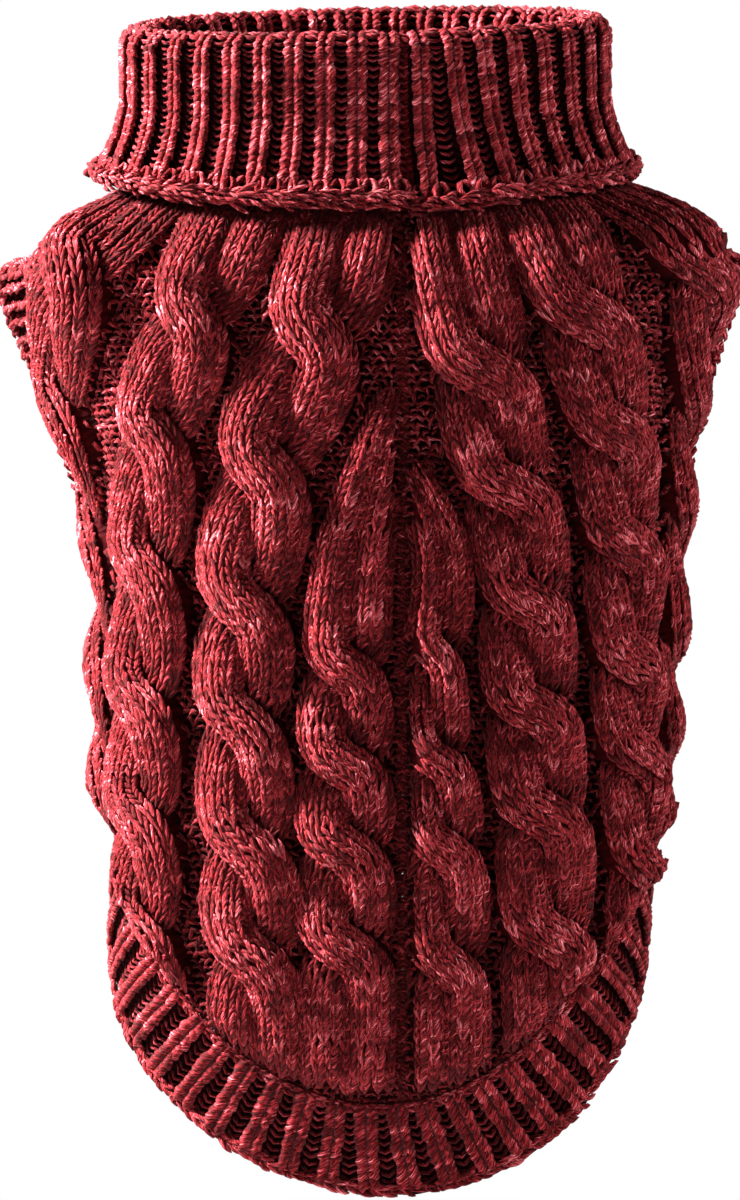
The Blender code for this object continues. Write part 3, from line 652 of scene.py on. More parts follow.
def backing_material(name, lit_colour, shaded_colour, under, relief):
    """Knitting seen from its wrong side: rows of interlocked bumps, from a map in stitches."""
    material, tree, across, up, place = begin_material(name, "stitches")
    row = calculate(tree, "MULTIPLY", up, 2 * math.pi)
    ridge = calculate(tree, "SINE", add_weighted(tree, row, (wave(tree, across), 1.3)))
    bumps = add_weighted(tree, ridge, (wave(tree, across, rate=2), 0.45))
    # Painted shade: the colour goes from the shaded one in the hollows between bumps to the lit one on
    # their tops.
    level = fitted(tree, bumps, -1.2, 1.3)
    fibres = noise(tree, place, scale=1100.0, detail=3.0)
    shade = calculate(tree, "MULTIPLY", level, calculate(tree, "ADD", fibres, 0.45))
    covered = add_node(tree, "ShaderNodeAttribute", attribute_name="covered").outputs["Fac"]
    # Where stitches cover the face it takes the under colour instead, also painted shade.
    colour = blend_colours(tree, covered, blend_colours(tree, shade, shaded_colour, lit_colour), under)
    finish_material(tree, add_weighted(tree, level, (fibres, 0.25)), 0.9, relief, {
        "Base Color": colour, "Roughness": 0.85, "Specular IOR Level": 0.02, "Sheen Weight": 0.02})
    return material


yarn = yarn_material("marled_yarn")
# The roots outside are coloured near black: painted shade in the gaps between the stitches, blackest
# where the ground lies bare of cables.
shaded_roots = backing_material(
    "shaded_stitch_roots", lit_colour=(0.012, 0.0003, 0.0006, 1.0), shaded_colour=(0.002, 0.0001, 0.0003, 1.0),
    under=(0.030, 0.0008, 0.0014, 1.0), relief=0.5)
wrong_side = backing_material(
    "wrong_side", lit_colour=(0.230, 0.012, 0.018, 1.0), shaded_colour=(0.030, 0.001, 0.002, 1.0),
    under=(0.160, 0.006, 0.009, 1.0), relief=1.1)


def back_backing(side, name):
    share, level = back_grid(side)
    plain, normal = body_point(share, level), body_normal(share, level)
    across = share * half_girth(level) + section_at(level)[..., 3]
    relief = cable_relief(across, plain[..., 2]) * back_fade(share, level)
    counts = np.stack([across / WALE, plain[..., 2] / COURSE], axis=-1)
    # Covered sets how deep the roots lie, and paints the bare ground's roots darker than covered ones,
    # as shade.
    covered = ease((relief - BARE_BELOW) / (COVERED_ABOVE - BARE_BELOW))
    root = STITCH_ROOT + (BACK_ROOT - STITCH_ROOT) * covered
    outer = plain + normal * (relief - root)[..., None]
    inner = (plain - normal * WALL)[::INNER_STEP, ::INNER_STEP]
    return make_backing(name, outer, inner, counts, False, covered)


# A stitch is two legs of yarn. Their places are in wales across, courses along and yarn
# thicknesses out of the cloth, and each leg starts and ends under its neighbours.
LEG_SIDES = 4
KNIT_LEG = (
    # across, along, out, breadth, depth
    (0.03, -0.80, -0.75, 0.0, 0.0),
    (0.08, -0.50, -0.16, 0.14, 0.40),
    (0.17, -0.10, 0.12, 0.185, 0.50),
    (0.28, 0.32, 0.14, 0.195, 0.52),
    (0.34, 0.68, -0.04, 0.15, 0.42),
    (0.35, 0.98, -0.75, 0.0, 0.0),
)
RIB_LEG = (
    (0.15, -0.86, -0.70, 0.0, 0.0),
    (0.19, -0.52, -0.08, 0.19, 0.46),
    (0.23, -0.08, 0.12, 0.235, 0.56),
    (0.26, 0.36, 0.12, 0.240, 0.56),
    (0.29, 0.76, -0.06, 0.19, 0.46),
    (0.30, 1.10, -0.70, 0.0, 0.0),
)
LOOP_LEG = (
    (-0.06, 0.52, -0.30, 0.0, 0.0),
    (0.26, 0.44, 0.10, 0.19, 0.50),
    (0.42, 0.02, 0.20, 0.20, 0.54),
    (0.26, -0.42, 0.06, 0.19, 0.50),
    (-0.06, -0.54, -0.30, 0.0, 0.0),
)
PURL_BAR = (
    (-0.56, -0.34, -0.75, 0.0, 0.0),
    (-0.34, -0.04, -0.02, 0.15, 0.38),
    (0.00, 0.16, 0.20, 0.18, 0.44),
    (0.34, -0.04, -0.02, 0.15, 0.38),
    (0.56, -0.34, -0.75, 0.0, 0.0),
)


def add_leg(work, path, mirrored, wound):
    """A plump tube along a leg's path, pointed at both ends, with a map round and along it."""
    places = np.array(path)
    centres, breadth, depth = places[:, :3].copy(), places[:, 3], places[:, 4]
    centres[:, 0] *= -1 if mirrored else 1
    forward = unit(np.gradient(centres, axis=0))
    sideways = unit(np.cross(forward, (0.0, 0.0, 1.0)))
    outward = np.cross(sideways, forward)
    turns = np.linspace(0.0, 2 * math.pi, LEG_SIDES + 1)[:-1]
    rings = []
    for k in range(len(places)):
        if breadth[k] == 0:
            rings.append([work.verts.new(centres[k])] * LEG_SIDES)
            continue
        offsets = (np.outer(np.cos(turns), sideways[k]) * breadth[k]
                   + np.outer(np.sin(turns), outward[k]) * depth[k])
        rings.append([work.verts.new(centres[k] + offset) for offset in offsets])
    length = running_length(np.linalg.norm(np.diff(centres, axis=0), axis=1))
    for k in range(len(places) - 1):
        for s in range(LEG_SIDES):
            t = (s + 1) % LEG_SIDES
            corners = [(rings[k][s], s, k), (rings[k][t], s + 1, k),
                       (rings[k + 1][t], s + 1, k + 1), (rings[k + 1][s], s, k + 1)]
            if breadth[k] == 0:
                corners.pop(1)
            elif breadth[k + 1] == 0:
                corners.pop(2)
            face = work.faces.new([corner[0] for corner in corners])
            face.smooth = True
            for loop, (_, place, ring) in zip(face.loops, corners):
                loop[wound].uv = (place / LEG_SIDES, length[ring])


def stitch_shape(name, *legs):
    """A stitch as a small mesh of its own, hidden, for copying. A leg is a path and its hand."""
    work = bmesh.new()
    wound = work.loops.layers.uv.new("wound")
    for path, mirrored in legs:
        add_leg(work, path, mirrored, wound)
    bmesh.ops.recalc_face_normals(work, faces=work.faces)
    mesh = bpy.data.meshes.new(name)
    work.to_mesh(mesh)
    work.free()
    shape = add_object(name, mesh)
    shape.hide_render = True
    return shape


knit_stitch = stitch_shape("knit_stitch", (KNIT_LEG, False), (KNIT_LEG, True))
purl_stitch = stitch_shape("purl_stitch", (PURL_BAR, False))
rib_stitch = stitch_shape("rib_stitch", (RIB_LEG, False), (RIB_LEG, True))
edge_loop = stitch_shape("edge_loop", (LOOP_LEG, False), (LOOP_LEG, True))


def stitching_tree():
    """Geometry nodes that set a stitch at each place, turned and sized as the place says."""
    tree = bpy.data.node_groups.new("stitching", "GeometryNodeTree")
    for name, kind in (("Places", "Geometry"), ("Stitch", "Object"), ("Plumpness", "Float"),
                       ("Yarn", "Material")):
        tree.interface.new_socket(name, in_out="INPUT", socket_type="NodeSocket" + kind)
    tree.interface.new_socket("Knitting", in_out="OUTPUT", socket_type="NodeSocketGeometry")
    given = add_node(tree, "NodeGroupInput").outputs
    shape = add_node(tree, "GeometryNodeObjectInfo", {"Object": given["Stitch"]})
    along, out, size = [
        add_node(tree, "GeometryNodeInputNamedAttribute", {"Name": name},
                 data_type="FLOAT_VECTOR").outputs["Attribute"]
        for name in ("along", "out", "size")
    ]
    turned = add_node(
        tree, "FunctionNodeAxesToRotation", {"Primary Axis": out, "Secondary Axis": along},
        primary_axis="Z", secondary_axis="Y")
    thick = add_node(tree, "ShaderNodeCombineXYZ", {0: 1.0, 1: 1.0, 2: given["Plumpness"]})
    plump = add_node(
        tree, "ShaderNodeVectorMath", {0: size, 1: thick.outputs[0]}, operation="MULTIPLY")
    copies = add_node(tree, "GeometryNodeInstanceOnPoints", {
        "Points": given["Places"], "Instance": shape.outputs["Geometry"],
        "Rotation": turned.outputs[0], "Scale": plump.outputs[0]})
    joined = add_node(tree, "GeometryNodeRealizeInstances", {0: copies.outputs[0]})
    finish = add_node(tree, "GeometryNodeSetMaterial", {
        "Geometry": joined.outputs[0], "Material": given["Yarn"]})
    add_node(tree, "NodeGroupOutput", {"Knitting": finish.outputs[0]})
    return tree


stitching = stitching_tree()
chance = np.random.RandomState(7)
YARN_THICKNESS = 1.7
YARN_PLUMPNESS = 1.0
STITCH_JITTER = 0.12
STITCH_TURN = 0.09
STITCH_SPREAD = 0.12
TONE_SPREAD = 0.28
# How much darker a stitch lying deep between others is painted, as shade.
SHADE_IN_DEPTH = 0.45


def scatter(*shape):
    return chance.uniform(-1, 1, shape)


def finish_piece(piece):
    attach(piece, "root")


def knit(name, stitch, stitches, shade, deep=0.0, looseness=1.0):
    """Sets a stitch at each place and makes the result one plain mesh, as a piece of its own.

    Stitches are places, ways along and out, and sizes. Shade is how light they are, from 0 to 1,
    deep how far down between others they lie, which paints them darker as shade, and looseness how
    uneven they are.
    """
    places, along, out, size = stitches
    count = len(places)
    # The tone is random from stitch to stitch, and darker the deeper a stitch lies: painted shade.
    tone_and_shade = np.clip(shade + TONE_SPREAD * scatter(count) - SHADE_IN_DEPTH * deep, 0.0, 1.0)
    size = size * (1 + STITCH_SPREAD * looseness * scatter(count, 3))
    along = unit(along) + STITCH_TURN * looseness * scatter(count, 3)
    out = unit(out) + STITCH_TURN * looseness * scatter(count, 3)
    places = places + STITCH_JITTER * looseness * scatter(count, 3)
    dots = bpy.data.meshes.new(name + "_places")
    dots.from_pydata((places * MM).tolist(), [], [])
    for attribute, values in (("along", along), ("out", out), ("size", size * MM)):
        held = dots.attributes.new(attribute, "FLOAT_VECTOR", "POINT")
        held.data.foreach_set("vector", values.ravel())
    dots.attributes.new("tone_and_shade", "FLOAT", "POINT").data.foreach_set("value", tone_and_shade)
    holder = add_object(name + "_places", dots)
    step = holder.modifiers.new("stitching", "NODES")
    step.node_group = stitching
    inputs = {item.name: item.identifier for item in stitching.interface.items_tree
              if item.in_out == "INPUT"}
    step[inputs["Stitch"]] = stitch
    step[inputs["Plumpness"]] = YARN_PLUMPNESS
    step[inputs["Yarn"]] = yarn
    graph = bpy.context.evaluated_depsgraph_get()
    mesh = bpy.data.meshes.new_from_object(holder.evaluated_get(graph))
    for attribute in ("along", "out", "size"):
        if attribute in mesh.attributes:
            mesh.attributes.remove(mesh.attributes[attribute])
    bpy.data.objects.remove(holder)
    piece = add_object(name, mesh)
    finish_piece(piece)
    return piece


# Stitches along the strands. A whole strand is five wales wide, and its rows lie square to it.
STRAND_WALES = 5
EDGE_SPREAD = 0.88
LEAST_WALE = 2.2
STRAND_THICKNESS = 1.35
STRAND_SUNK = 0.35
STEEPEST = 0.38
HIDDEN_BY = 0.7
LEAST_FADE = 0.3
LINE_NUDGE = 0.6
LINE_PAST_NECK = 4
LINE_SHORT_OF_END = 28
LEAST_COURSE = 0.55
LEAST_RUN = 3
BODY_LEAN = 0.35
ALONG_FLATTENED = 0.6
WALE_OVERLAP = 1.12
COURSE_OVERLAP = 1.16
MOST_STRETCH = 1.35
NECK_MARGIN = 1
CABLE_MARGINS = (1.0, 0.6, -0.5, 1.0)
# Cable stitches lower than this are painted darker, as shade between the strands.
SHADED_BELOW = 6.5


def wale_spreads(count):
    """Places of wales from -1 to 1 across a strand, at even steps over its dome."""
    spread = np.linspace(-EDGE_SPREAD, EDGE_SPREAD, 401)
    dome = np.clip(1 - spread**2, 0.0, None) ** STRAND_ROUNDNESS * STRAND_HEIGHT / STRAND_HALF_WIDTH
    run = running_length(np.hypot(np.diff(spread), np.diff(dome)))
    return np.interp((np.arange(count) + 0.5) / count * run[-1], run, spread)


def strand_surface(strand, across, height):
    """Points on a strand's own surface, with their share, level, fade and rise."""
    share, level = body_place(across, height)
    fade = back_fade(share, level)
    rise = strand_relief(strand, across, height) * fade
    place = body_point(share, level) + body_normal(share, level) * rise[..., None]
    return place, share, level, fade, rise


def far_enough(places, least):
    """Which places of a row lie at least so far on from the last one kept."""
    keep, last = np.zeros(len(places), bool), None
    for index, place in enumerate(places):
        if last is None or np.linalg.norm(place - last) > least:
            keep[index], last = True, place
    return keep


def on_half(side, across, share, level, margins):
    """Which places lie on a half of the back, by their margins from its outer edge, the back
    seam, the hem band and the leg hole."""
    from_edge, from_seam, from_hem, from_hole = margins
    inside = back_edge(level) - side * share * half_girth(level)
    keep = (inside > from_edge) & (side * (across - BACK_SEAM) > from_seam)
    keep &= (level < NECK_LEVEL - NECK_MARGIN) & (level > panel_bottom(share) + from_hem)
    return keep & (away_from_hole(share, level) > from_hole)


def cable_stitches(cable):
    """Places, directions and sizes of the stitches of a cable that no other strand covers, and
    how high they stand."""
    found = []
    half = 1 if cable >= len(CABLE_CROSSINGS) / 2 else -1
    for side in (1, -1):
        strand = (cable, side)
        line, half_width, _ = STRANDS[strand]
        top = min(NECK_LEVEL + LINE_PAST_NECK, CABLE_STARTS[cable] - 1)
        shown = (line[:, 1] < top) & (line[:, 1] > SECTIONS[-1][0] + LINE_SHORT_OF_END)
        line, half_width = line[shown], half_width[shown]
        middle = body_point(*body_place(*line.T))
        run = running_length(np.linalg.norm(np.diff(middle, axis=0), axis=1))
        rows = np.arange(COURSE / 2, run[-1], COURSE)
        centre = np.stack([np.interp(rows, run, line[:, axis]) for axis in (0, 1)], axis=-1)
        reach = np.interp(rows, run, half_width)
        step = unit(np.gradient(centre, axis=0))
        square = np.stack([-step[:, 1], step[:, 0]], axis=-1)
        for wales in range(1, STRAND_WALES + 1):
            # A narrower strand has fewer wales.
            counted = np.round(reach / STRAND_HALF_WIDTH * STRAND_WALES)
            counted = np.clip(counted, 1, STRAND_WALES) == wales
            if counted.sum() < LEAST_RUN:
                continue
            spread = wale_spreads(wales)[:, None, None]
            across, height = np.moveaxis(centre + square * (spread * reach[:, None]), -1, 0)
            place, share, level, fade, rise = strand_surface(strand, across, height)
            nudged = [strand_surface(strand, across + LINE_NUDGE * right, height + LINE_NUDGE * up)[0]
                      for right, up in (square.T, -square.T, step.T, -step.T)]
            more, less, lower, higher = nudged
            upright = body_normal(share, level)
            out = unit(np.cross(more - less, higher - lower))
            steep = np.sum(out * upright, axis=-1) < STEEPEST
            out = unit(out + BODY_LEAN * upright)
            along = higher - lower
            along = along - ALONG_FLATTENED * np.sum(along * out, axis=-1, keepdims=True) * out
            cover = cable_relief(across, height) * fade
            keep = counted & ~steep & (fade > LEAST_FADE) & (rise > cover - HIDDEN_BY)
            keep &= on_half(half, across, share, level, CABLE_MARGINS)
            if wales > 1:
                beside = np.linalg.norm(np.gradient(place, axis=0), axis=-1)
            else:
                beside = 2 * reach[None, :]
            for wale in range(wales):
                kept = keep[wale]
                kept[kept] = far_enough(place[wale][kept], LEAST_COURSE * COURSE)
                if kept.sum() < LEAST_RUN:
                    continue
                ahead = np.linalg.norm(np.diff(place[wale][kept], axis=0), axis=1)
                course = np.minimum(np.append(ahead, ahead[-1]), np.append(ahead[0], ahead))
                course = np.clip(course, LEAST_COURSE * COURSE, MOST_STRETCH * COURSE)
                wide = np.clip(beside[wale][kept] * WALE_OVERLAP, LEAST_WALE, MOST_STRETCH * WALE)
                thick = np.full_like(wide, STRAND_THICKNESS)
                size = np.stack([wide, course * COURSE_OVERLAP, thick], axis=-1)
                sunk = place[wale][kept] - out[wale][kept] * STRAND_SUNK
                found.append((sunk, along[wale][kept], out[wale][kept], size, rise[wale][kept]))
    return [np.concatenate(columns) for columns in zip(*found)]


def sized(count, width, course):
    """Sizes of so many stitches in yarn of the usual thickness."""
    size = np.full((count, 3), YARN_THICKNESS)
    size[:, 0], size[:, 1] = width, course
    return size


cable_pieces = {}
for name, half, cables in (
    ("cables_outer_left", -1, (0, 1)), ("cables_inner_left", -1, (2, 3)),
    ("cables_inner_right", 1, (4, 5)), ("cables_outer_right", 1, (6, 7)),
):
    *stitches, rise = [np.concatenate(column) for column in zip(*map(cable_stitches, cables))]
    # Stitches that stand less high are painted darker, as shade under the strands.
    deep = 1 - ease(rise / SHADED_BELOW)
    cabling = knit(name, knit_stitch, stitches, shade=0.5, deep=deep, looseness=0.8)
    cable_pieces.setdefault(half, []).append(cabling)


# The purl ground between the cables: rows of short bars, every second row half a wale over.
GROUND_WALE = 2.5
GROUND_COURSE = 2.0
GROUND_REACH = 150.0
GROUND_ASKEW = 0.9
GROUND_SUNK = 1.1
GROUND_BARE = 2.9
GROUND_MARGINS = (1.2, 0.9, 0.0, 1.5)


def ground_stitches(side):
    """Purl stitches wherever the back lies bare of cables."""
    heights = np.arange(NECK_LEVEL, SECTIONS[-1][0], -GROUND_COURSE)
    wales = np.arange(0.0, GROUND_REACH, GROUND_WALE)[:, None]
    across = BACK_SEAM + side * (wales + GROUND_WALE / 2)
    across = across + GROUND_WALE / 2 * (np.arange(len(heights)) % 2)
    height = np.broadcast_to(heights, across.shape)
    share, level = body_place(across, height)
    relief = cable_relief(across, height) * back_fade(share, level)
    keep = (relief < GROUND_BARE) & on_half(side, across, share, level, GROUND_MARGINS)
    share, level, relief = share[keep], level[keep], relief[keep]
    out = body_normal(share, level)
    along = body_point(share, level + 1) - body_point(share, level - 1)
    along = along + GROUND_ASKEW * scatter(len(share), 1) * np.cross(out, along)
    size = sized(len(share), WALE * 1.05, COURSE * 1.5)
    size = size * chance.uniform(0.7, 1.25, (len(share), 1))
    place = body_point(share, level) + out * (relief - GROUND_SUNK)[:, None]
    return (place, along, out, size), level


# The back seam, linked in the same yarn: a close row of bars sunk between the halves.
SEAM_START = 12
SEAM_SUNK = 1.2

seam_heights = np.arange(NECK_LEVEL - SEAM_START, SECTIONS[-1][0], -COURSE / 2)
share, level = body_place(np.full_like(seam_heights, BACK_SEAM), seam_heights)
shown = level > panel_bottom(share)
share, level = share[shown], level[shown]
out = body_normal(share, level)
along = body_point(share, level + 1) - body_point(share, level - 1)
stitches = (body_point(share, level) - SEAM_SUNK * out, along, out,
            sized(len(share), 3.4, COURSE * 1.7))
# The seam's bars are painted darker, as shade where they lie sunk between the halves.
back_seam = knit("back_seam", purl_stitch, stitches, shade=0.55, deep=1.0)
cable_pieces[1].append(back_seam)

for side, half in ((-1, "left"), (1, "right")):
    stitches, level = ground_stitches(side)
    # The ground is lighter towards the neck.
    shade = 0.55 + 0.40 * ease((level + 130) / 70)
    # All its bars are painted darker, as shade in the hollows between the cables.
    ground = knit(f"ground_{half}", purl_stitch, stitches, shade, deep=1.0,
                  looseness=2.0)
    backing = back_backing(side, f"back_{half}_cloth")
    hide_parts(f"back_{half}")
    finish_piece(backing)


# ------------------------------------------------------------------------------------------------
# The belly, one panel in a wide rib of the same yarn, linked to both halves of the back along the
# side seams and scooped out at both sides for the forelegs.
# ------------------------------------------------------------------------------------------------

BELLY_RIBS = 15
BELLY_RIB_HEIGHT = 1.6
BELLY_CELLS = 6
BELLY_STEPS = 73
BELLY_COURSES = 60
BELLY_ROOT_LIFT = 0.4
BELLY_CORD_APART = 0.16


def rib_crest(turns, sharpness=1.0):
    """1 on the crest of each rib and 0 midway between two, for a count of ribs passed."""
    return (0.5 - 0.5 * np.cos(2 * math.pi * turns)) ** sharpness


def belly_level(part, drop):
    """Shares and levels on the belly, by parts of its width and of its length."""
    level = NECK_LEVEL + (HEM_LINE[-1][1] - NECK_LEVEL) * drop
    for _ in range(SETTLING_ROUNDS):
        girth = half_girth(level)
        edge = side_seam(level) + HOLE_SHARE_TO_BELLY * hole_width(level)
        edge = edge + CURVED_SEAM_GAP / 2 / girth
        share = edge + (2 - 2 * edge) * part
        level = NECK_LEVEL + (panel_bottom(share) - NECK_LEVEL) * drop
    return share, level


def belly_surface(part, drop, out):
    """Points of the belly's ribbed face, so far out of its ribs."""
    share, level = belly_level(part, drop)
    fade = ease((NECK_LEVEL - level) / NECK_FADE)
    fade = fade * ease((away_from_hole(share, level) - CUFF_MARGIN) / HOLE_FADE)
    rise = BELLY_RIB_HEIGHT * rib_crest(part * BELLY_RIBS) * fade + out
    return body_point(share, level) + body_normal(share, level) * rise[..., None]


def surface_stitches(surface, u, v, out, width, course, v_step):
    """Places, directions and sizes of stitches on a surface given by two running shares."""
    grids = np.broadcast_arrays(*[np.asarray(values, float) for values in (u, v, out, course)])
    u, v, out, course = [grid.ravel() for grid in grids]
    place = surface(u, v, out)
    along = surface(u, v + v_step, out) - surface(u, v - v_step, out)
    outward = surface(u, v, out + 0.5) - surface(u, v, out - 0.5)
    return place, along, outward, sized(len(u), width, course)


belly_drop, belly_part = np.meshgrid(
    np.linspace(0, 1, BELLY_STEPS), np.linspace(0, 1, BELLY_RIBS * BELLY_CELLS + 1))
share, level = belly_level(belly_part, belly_drop)
height = body_point(share, level)[..., 2]
counts = np.stack([share * half_girth(level) / WALE, height / COURSE], axis=-1)
belly_outer = belly_surface(belly_part, belly_drop, -STITCH_ROOT + BELLY_ROOT_LIFT)
belly_inner = (body_point(share, level) - body_normal(share, level) * WALL)[::INNER_STEP, ::INNER_STEP]
belly_cloth = make_backing("belly_cloth", belly_outer, belly_inner, counts, closed=False)
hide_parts("belly")
finish_piece(belly_cloth)

# Each rib is two columns of stitches side by side, and each furrow one column of bars.
courses = np.linspace(0.008, 0.992, BELLY_COURSES)[None, :]
apart = np.array((-BELLY_CORD_APART, BELLY_CORD_APART))
crests = ((np.arange(BELLY_RIBS) + 0.5)[:, None] + apart).reshape(-1, 1) / BELLY_RIBS
stitches = surface_stitches(
    belly_surface, crests, courses, out=-0.3, width=3.5, course=2.5, v_step=-0.004)
belly_ribs = knit("belly_ribs", knit_stitch, stitches, shade=0.5)
furrows = (np.arange(1, BELLY_RIBS) / BELLY_RIBS)[:, None]
stitches = surface_stitches(
    belly_surface, furrows, courses, out=0.1, width=4.6, course=2.9, v_step=-0.004)
# The furrows' bars are painted darker, as shade in the furrows.
belly_furrows = knit("belly_furrows", purl_stitch, stitches, shade=0.85, deep=1.0)

# The side seams, linked in the same yarn as one chain of stitches down each side.
SIDE_SEAM_LIFT = 0.2

level = np.arange(NECK_LEVEL - 4, HEM_LINE[-1][1] - 60, -COURSE)
seams = []
for side in (-1, 1):
    share = side * side_seam(level)
    shown = (away_from_hole(share, level) > 2.0) & (level > panel_bottom(share) + 1)
    share, shown = share[shown], level[shown]
    outward = body_normal(share, shown)
    above, below = [body_point(side * side_seam(at), at) for at in (shown + 1, shown - 1)]
    seams.append((body_point(share, shown) + SIDE_SEAM_LIFT * outward, above - below, outward))
place, along, out = [np.concatenate(columns) for columns in zip(*seams)]
stitches = (place, along, out, sized(len(place), 4.2, COURSE * 1.3))
side_seams = knit("side_seams", knit_stitch, stitches, shade=0.5)


# ------------------------------------------------------------------------------------------------
# The collar, a tube of the same yarn in a deep rib of single columns of stitches, linked to the
# neck edge of the body and turned down over itself. Its edge is cast off in loose loops, and its
# seam lies at the back.
# ------------------------------------------------------------------------------------------------

COLLAR_HALF_WIDTH = 57.5
COLLAR_HALF_DEPTH = 30.0
COLLAR_STAND = 32.5
COLLAR_STAND_FLARE = 3.0
COLLAR_TURN = 2.7
COLLAR_FOLD = 42.0
COLLAR_FOLD_RISE = 4.5
COLLAR_FLARE = 8.0
COLLAR_FLARE_RUN = 24.0
COLLAR_FLARE_POWER = 1.5
COLLAR_RIBS = 40
COLLAR_RIB_HEIGHT = 1.5
COLLAR_ROLL = 2.4
COLLAR_ROLL_RUN = 5.0
COLLAR_ROLL_END = 0.8
COLLAR_SEAM_SHARE = 0.063
COLLAR_SEAM_HALF_SHARE = 0.03
COLLAR_SEAM_DEPTH = 1.6
COLLAR_SEAM_DROP = 2.0
COLLAR_DROP_START = 0.005
COLLAR_DROP_SHARE = 0.2
COLLAR_RIGHT_DROP = 0.6
COLLAR_LEAN = 0.035
COLLAR_LEAN_START = 0.08
COLLAR_LEAN_END = 0.55
COLLAR_CELLS = 6
COLLAR_ROWS = 60
COLLAR_CREST_POWER = 0.7
COLLAR_FLATTENED = 0.6
STAND_STEPS = 41
TURN_STEPS = 25
FOLD_STEPS = 61
RIB_WALE = 5.8
RIB_COURSE = 2.15


def collar_profile():
    """The collar's path from the neck seam over the turn to the edge: its running length, radial
    and upright places and normals, and the run left to the edge."""
    up = np.linspace(SEAM_GAP, COLLAR_STAND, STAND_STEPS)[:-1]
    stand = np.stack([COLLAR_STAND_FLARE * up / COLLAR_STAND, up], axis=-1)
    angle = np.linspace(math.pi, 0.0, TURN_STEPS)[:-1]
    centre = np.array([COLLAR_STAND_FLARE + COLLAR_TURN, COLLAR_STAND])
    turn = centre + COLLAR_TURN * np.stack([np.cos(angle), np.sin(angle)], axis=-1)
    left = np.linspace(COLLAR_FOLD, 0.0, FOLD_STEPS)
    flared = np.clip(1 - left / COLLAR_FLARE_RUN, 0.0, None)
    fold_radius = COLLAR_STAND_FLARE + 2 * COLLAR_TURN + COLLAR_FLARE * flared**COLLAR_FLARE_POWER
    fold = np.stack([fold_radius, COLLAR_STAND - COLLAR_FOLD + left], axis=-1)
    path = np.concatenate([stand, turn, fold])
    step = unit(np.gradient(path, axis=0))
    run = running_length(np.linalg.norm(np.diff(path, axis=0), axis=1))
    run_left = np.concatenate([np.full(len(stand) + len(turn), COLLAR_FOLD), left])
    return run, path, np.stack([-step[:, 1], step[:, 0]], axis=-1), run_left


COLLAR_RUN, COLLAR_PATH, COLLAR_NORMALS, COLLAR_LEFT = collar_profile()
FOLD_START = COLLAR_RUN[-1] - COLLAR_FOLD


def collar_sweeps():
    """The angle round the neck's axis at even shares of the way round the collar."""
    radius = COLLAR_STAND_FLARE + 2 * COLLAR_TURN
    angle = np.linspace(-math.pi, math.pi, HEM_SAMPLES)
    forth = np.cos(angle)
    across = (COLLAR_HALF_WIDTH + radius) * np.abs(np.sin(angle)) ** SECTION_POWER * np.sign(angle)
    deep = (COLLAR_HALF_DEPTH + radius) * np.sign(forth) * np.abs(forth) ** SECTION_POWER
    run = running_length(np.hypot(np.diff(across), np.diff(deep)))
    return 2 * run / run[-1] - 1, angle


COLLAR_SHARES, COLLAR_ANGLES = collar_sweeps()


def collar_surface(past_seam, run, out):
    """Points of the collar by the share past its seam, from 0 to 2 once round, and the run from
    the neck. Out is counted from the middle of its wall, to the face that shows."""
    past_seam, run, out = np.broadcast_arrays(past_seam, run, out)
    past_seam = past_seam % 2
    at = [np.interp(run, COLLAR_RUN, values)
          for values in (*COLLAR_PATH.T, *COLLAR_NORMALS.T, COLLAR_LEFT)]
    down = 1 - at[4] / COLLAR_FOLD
    leaning = ease(past_seam / COLLAR_LEAN_START) * ease((COLLAR_LEAN_END - past_seam) / COLLAR_LEAN_END)
    turned = once_round(COLLAR_SEAM_SHARE + past_seam + COLLAR_LEAN * leaning * down)
    sweep = np.interp(turned, COLLAR_SHARES, COLLAR_ANGLES)
    unleant = np.abs(once_round(COLLAR_SEAM_SHARE + past_seam))
    rise = COLLAR_FOLD_RISE * np.sin(math.pi * np.clip(unleant, 0.0, 0.5)) ** 2
    rise = rise * (1 - COLLAR_RIGHT_DROP * np.clip(np.sin(sweep), 0.0, 1.0))
    drop = COLLAR_SEAM_DROP * ease(past_seam / COLLAR_DROP_START)
    drop = drop * ease(1 - past_seam / COLLAR_DROP_SHARE)
    radius = at[0] + at[2] * out
    upright = at[1] + (rise - drop) * down + at[3] * out
    forth = np.cos(sweep)
    x = (COLLAR_HALF_WIDTH + radius) * np.sign(sweep) * np.abs(np.sin(sweep)) ** SECTION_POWER
    y = -(COLLAR_HALF_DEPTH + radius) * np.sign(forth) * np.abs(forth) ** SECTION_POWER
    deep = y * math.cos(NECK_TILT) - upright * math.sin(NECK_TILT)
    high = y * math.sin(NECK_TILT) + upright * math.cos(NECK_TILT)
    return np.stack([x, deep, NECK_LEVEL + high + x * math.tan(NECK_ROLL)], axis=-1)


def collar_face(share, run, out):
    """As collar_surface, with out counted from between the ribs, past the roll and the seam."""
    left = np.interp(run, COLLAR_RUN, COLLAR_LEFT)
    roll = COLLAR_ROLL * np.sin(math.pi * np.clip(COLLAR_ROLL_END - left / COLLAR_ROLL_RUN, 0, 1))
    from_seam = np.minimum(share % 2, 2 - share % 2) / COLLAR_SEAM_HALF_SHARE
    groove = COLLAR_SEAM_DEPTH * np.clip(1 - from_seam, 0.0, None)
    return collar_surface(share, run, WALL / 2 + roll - groove + out)


fine_share = np.linspace(0, 2, COLLAR_RIBS * COLLAR_CELLS + 1)[:-1, None]
fine_run = np.linspace(COLLAR_RUN[0], COLLAR_RUN[-1], COLLAR_ROWS + 1)[None, :]
TURN_START = FOLD_START - math.pi * COLLAR_TURN


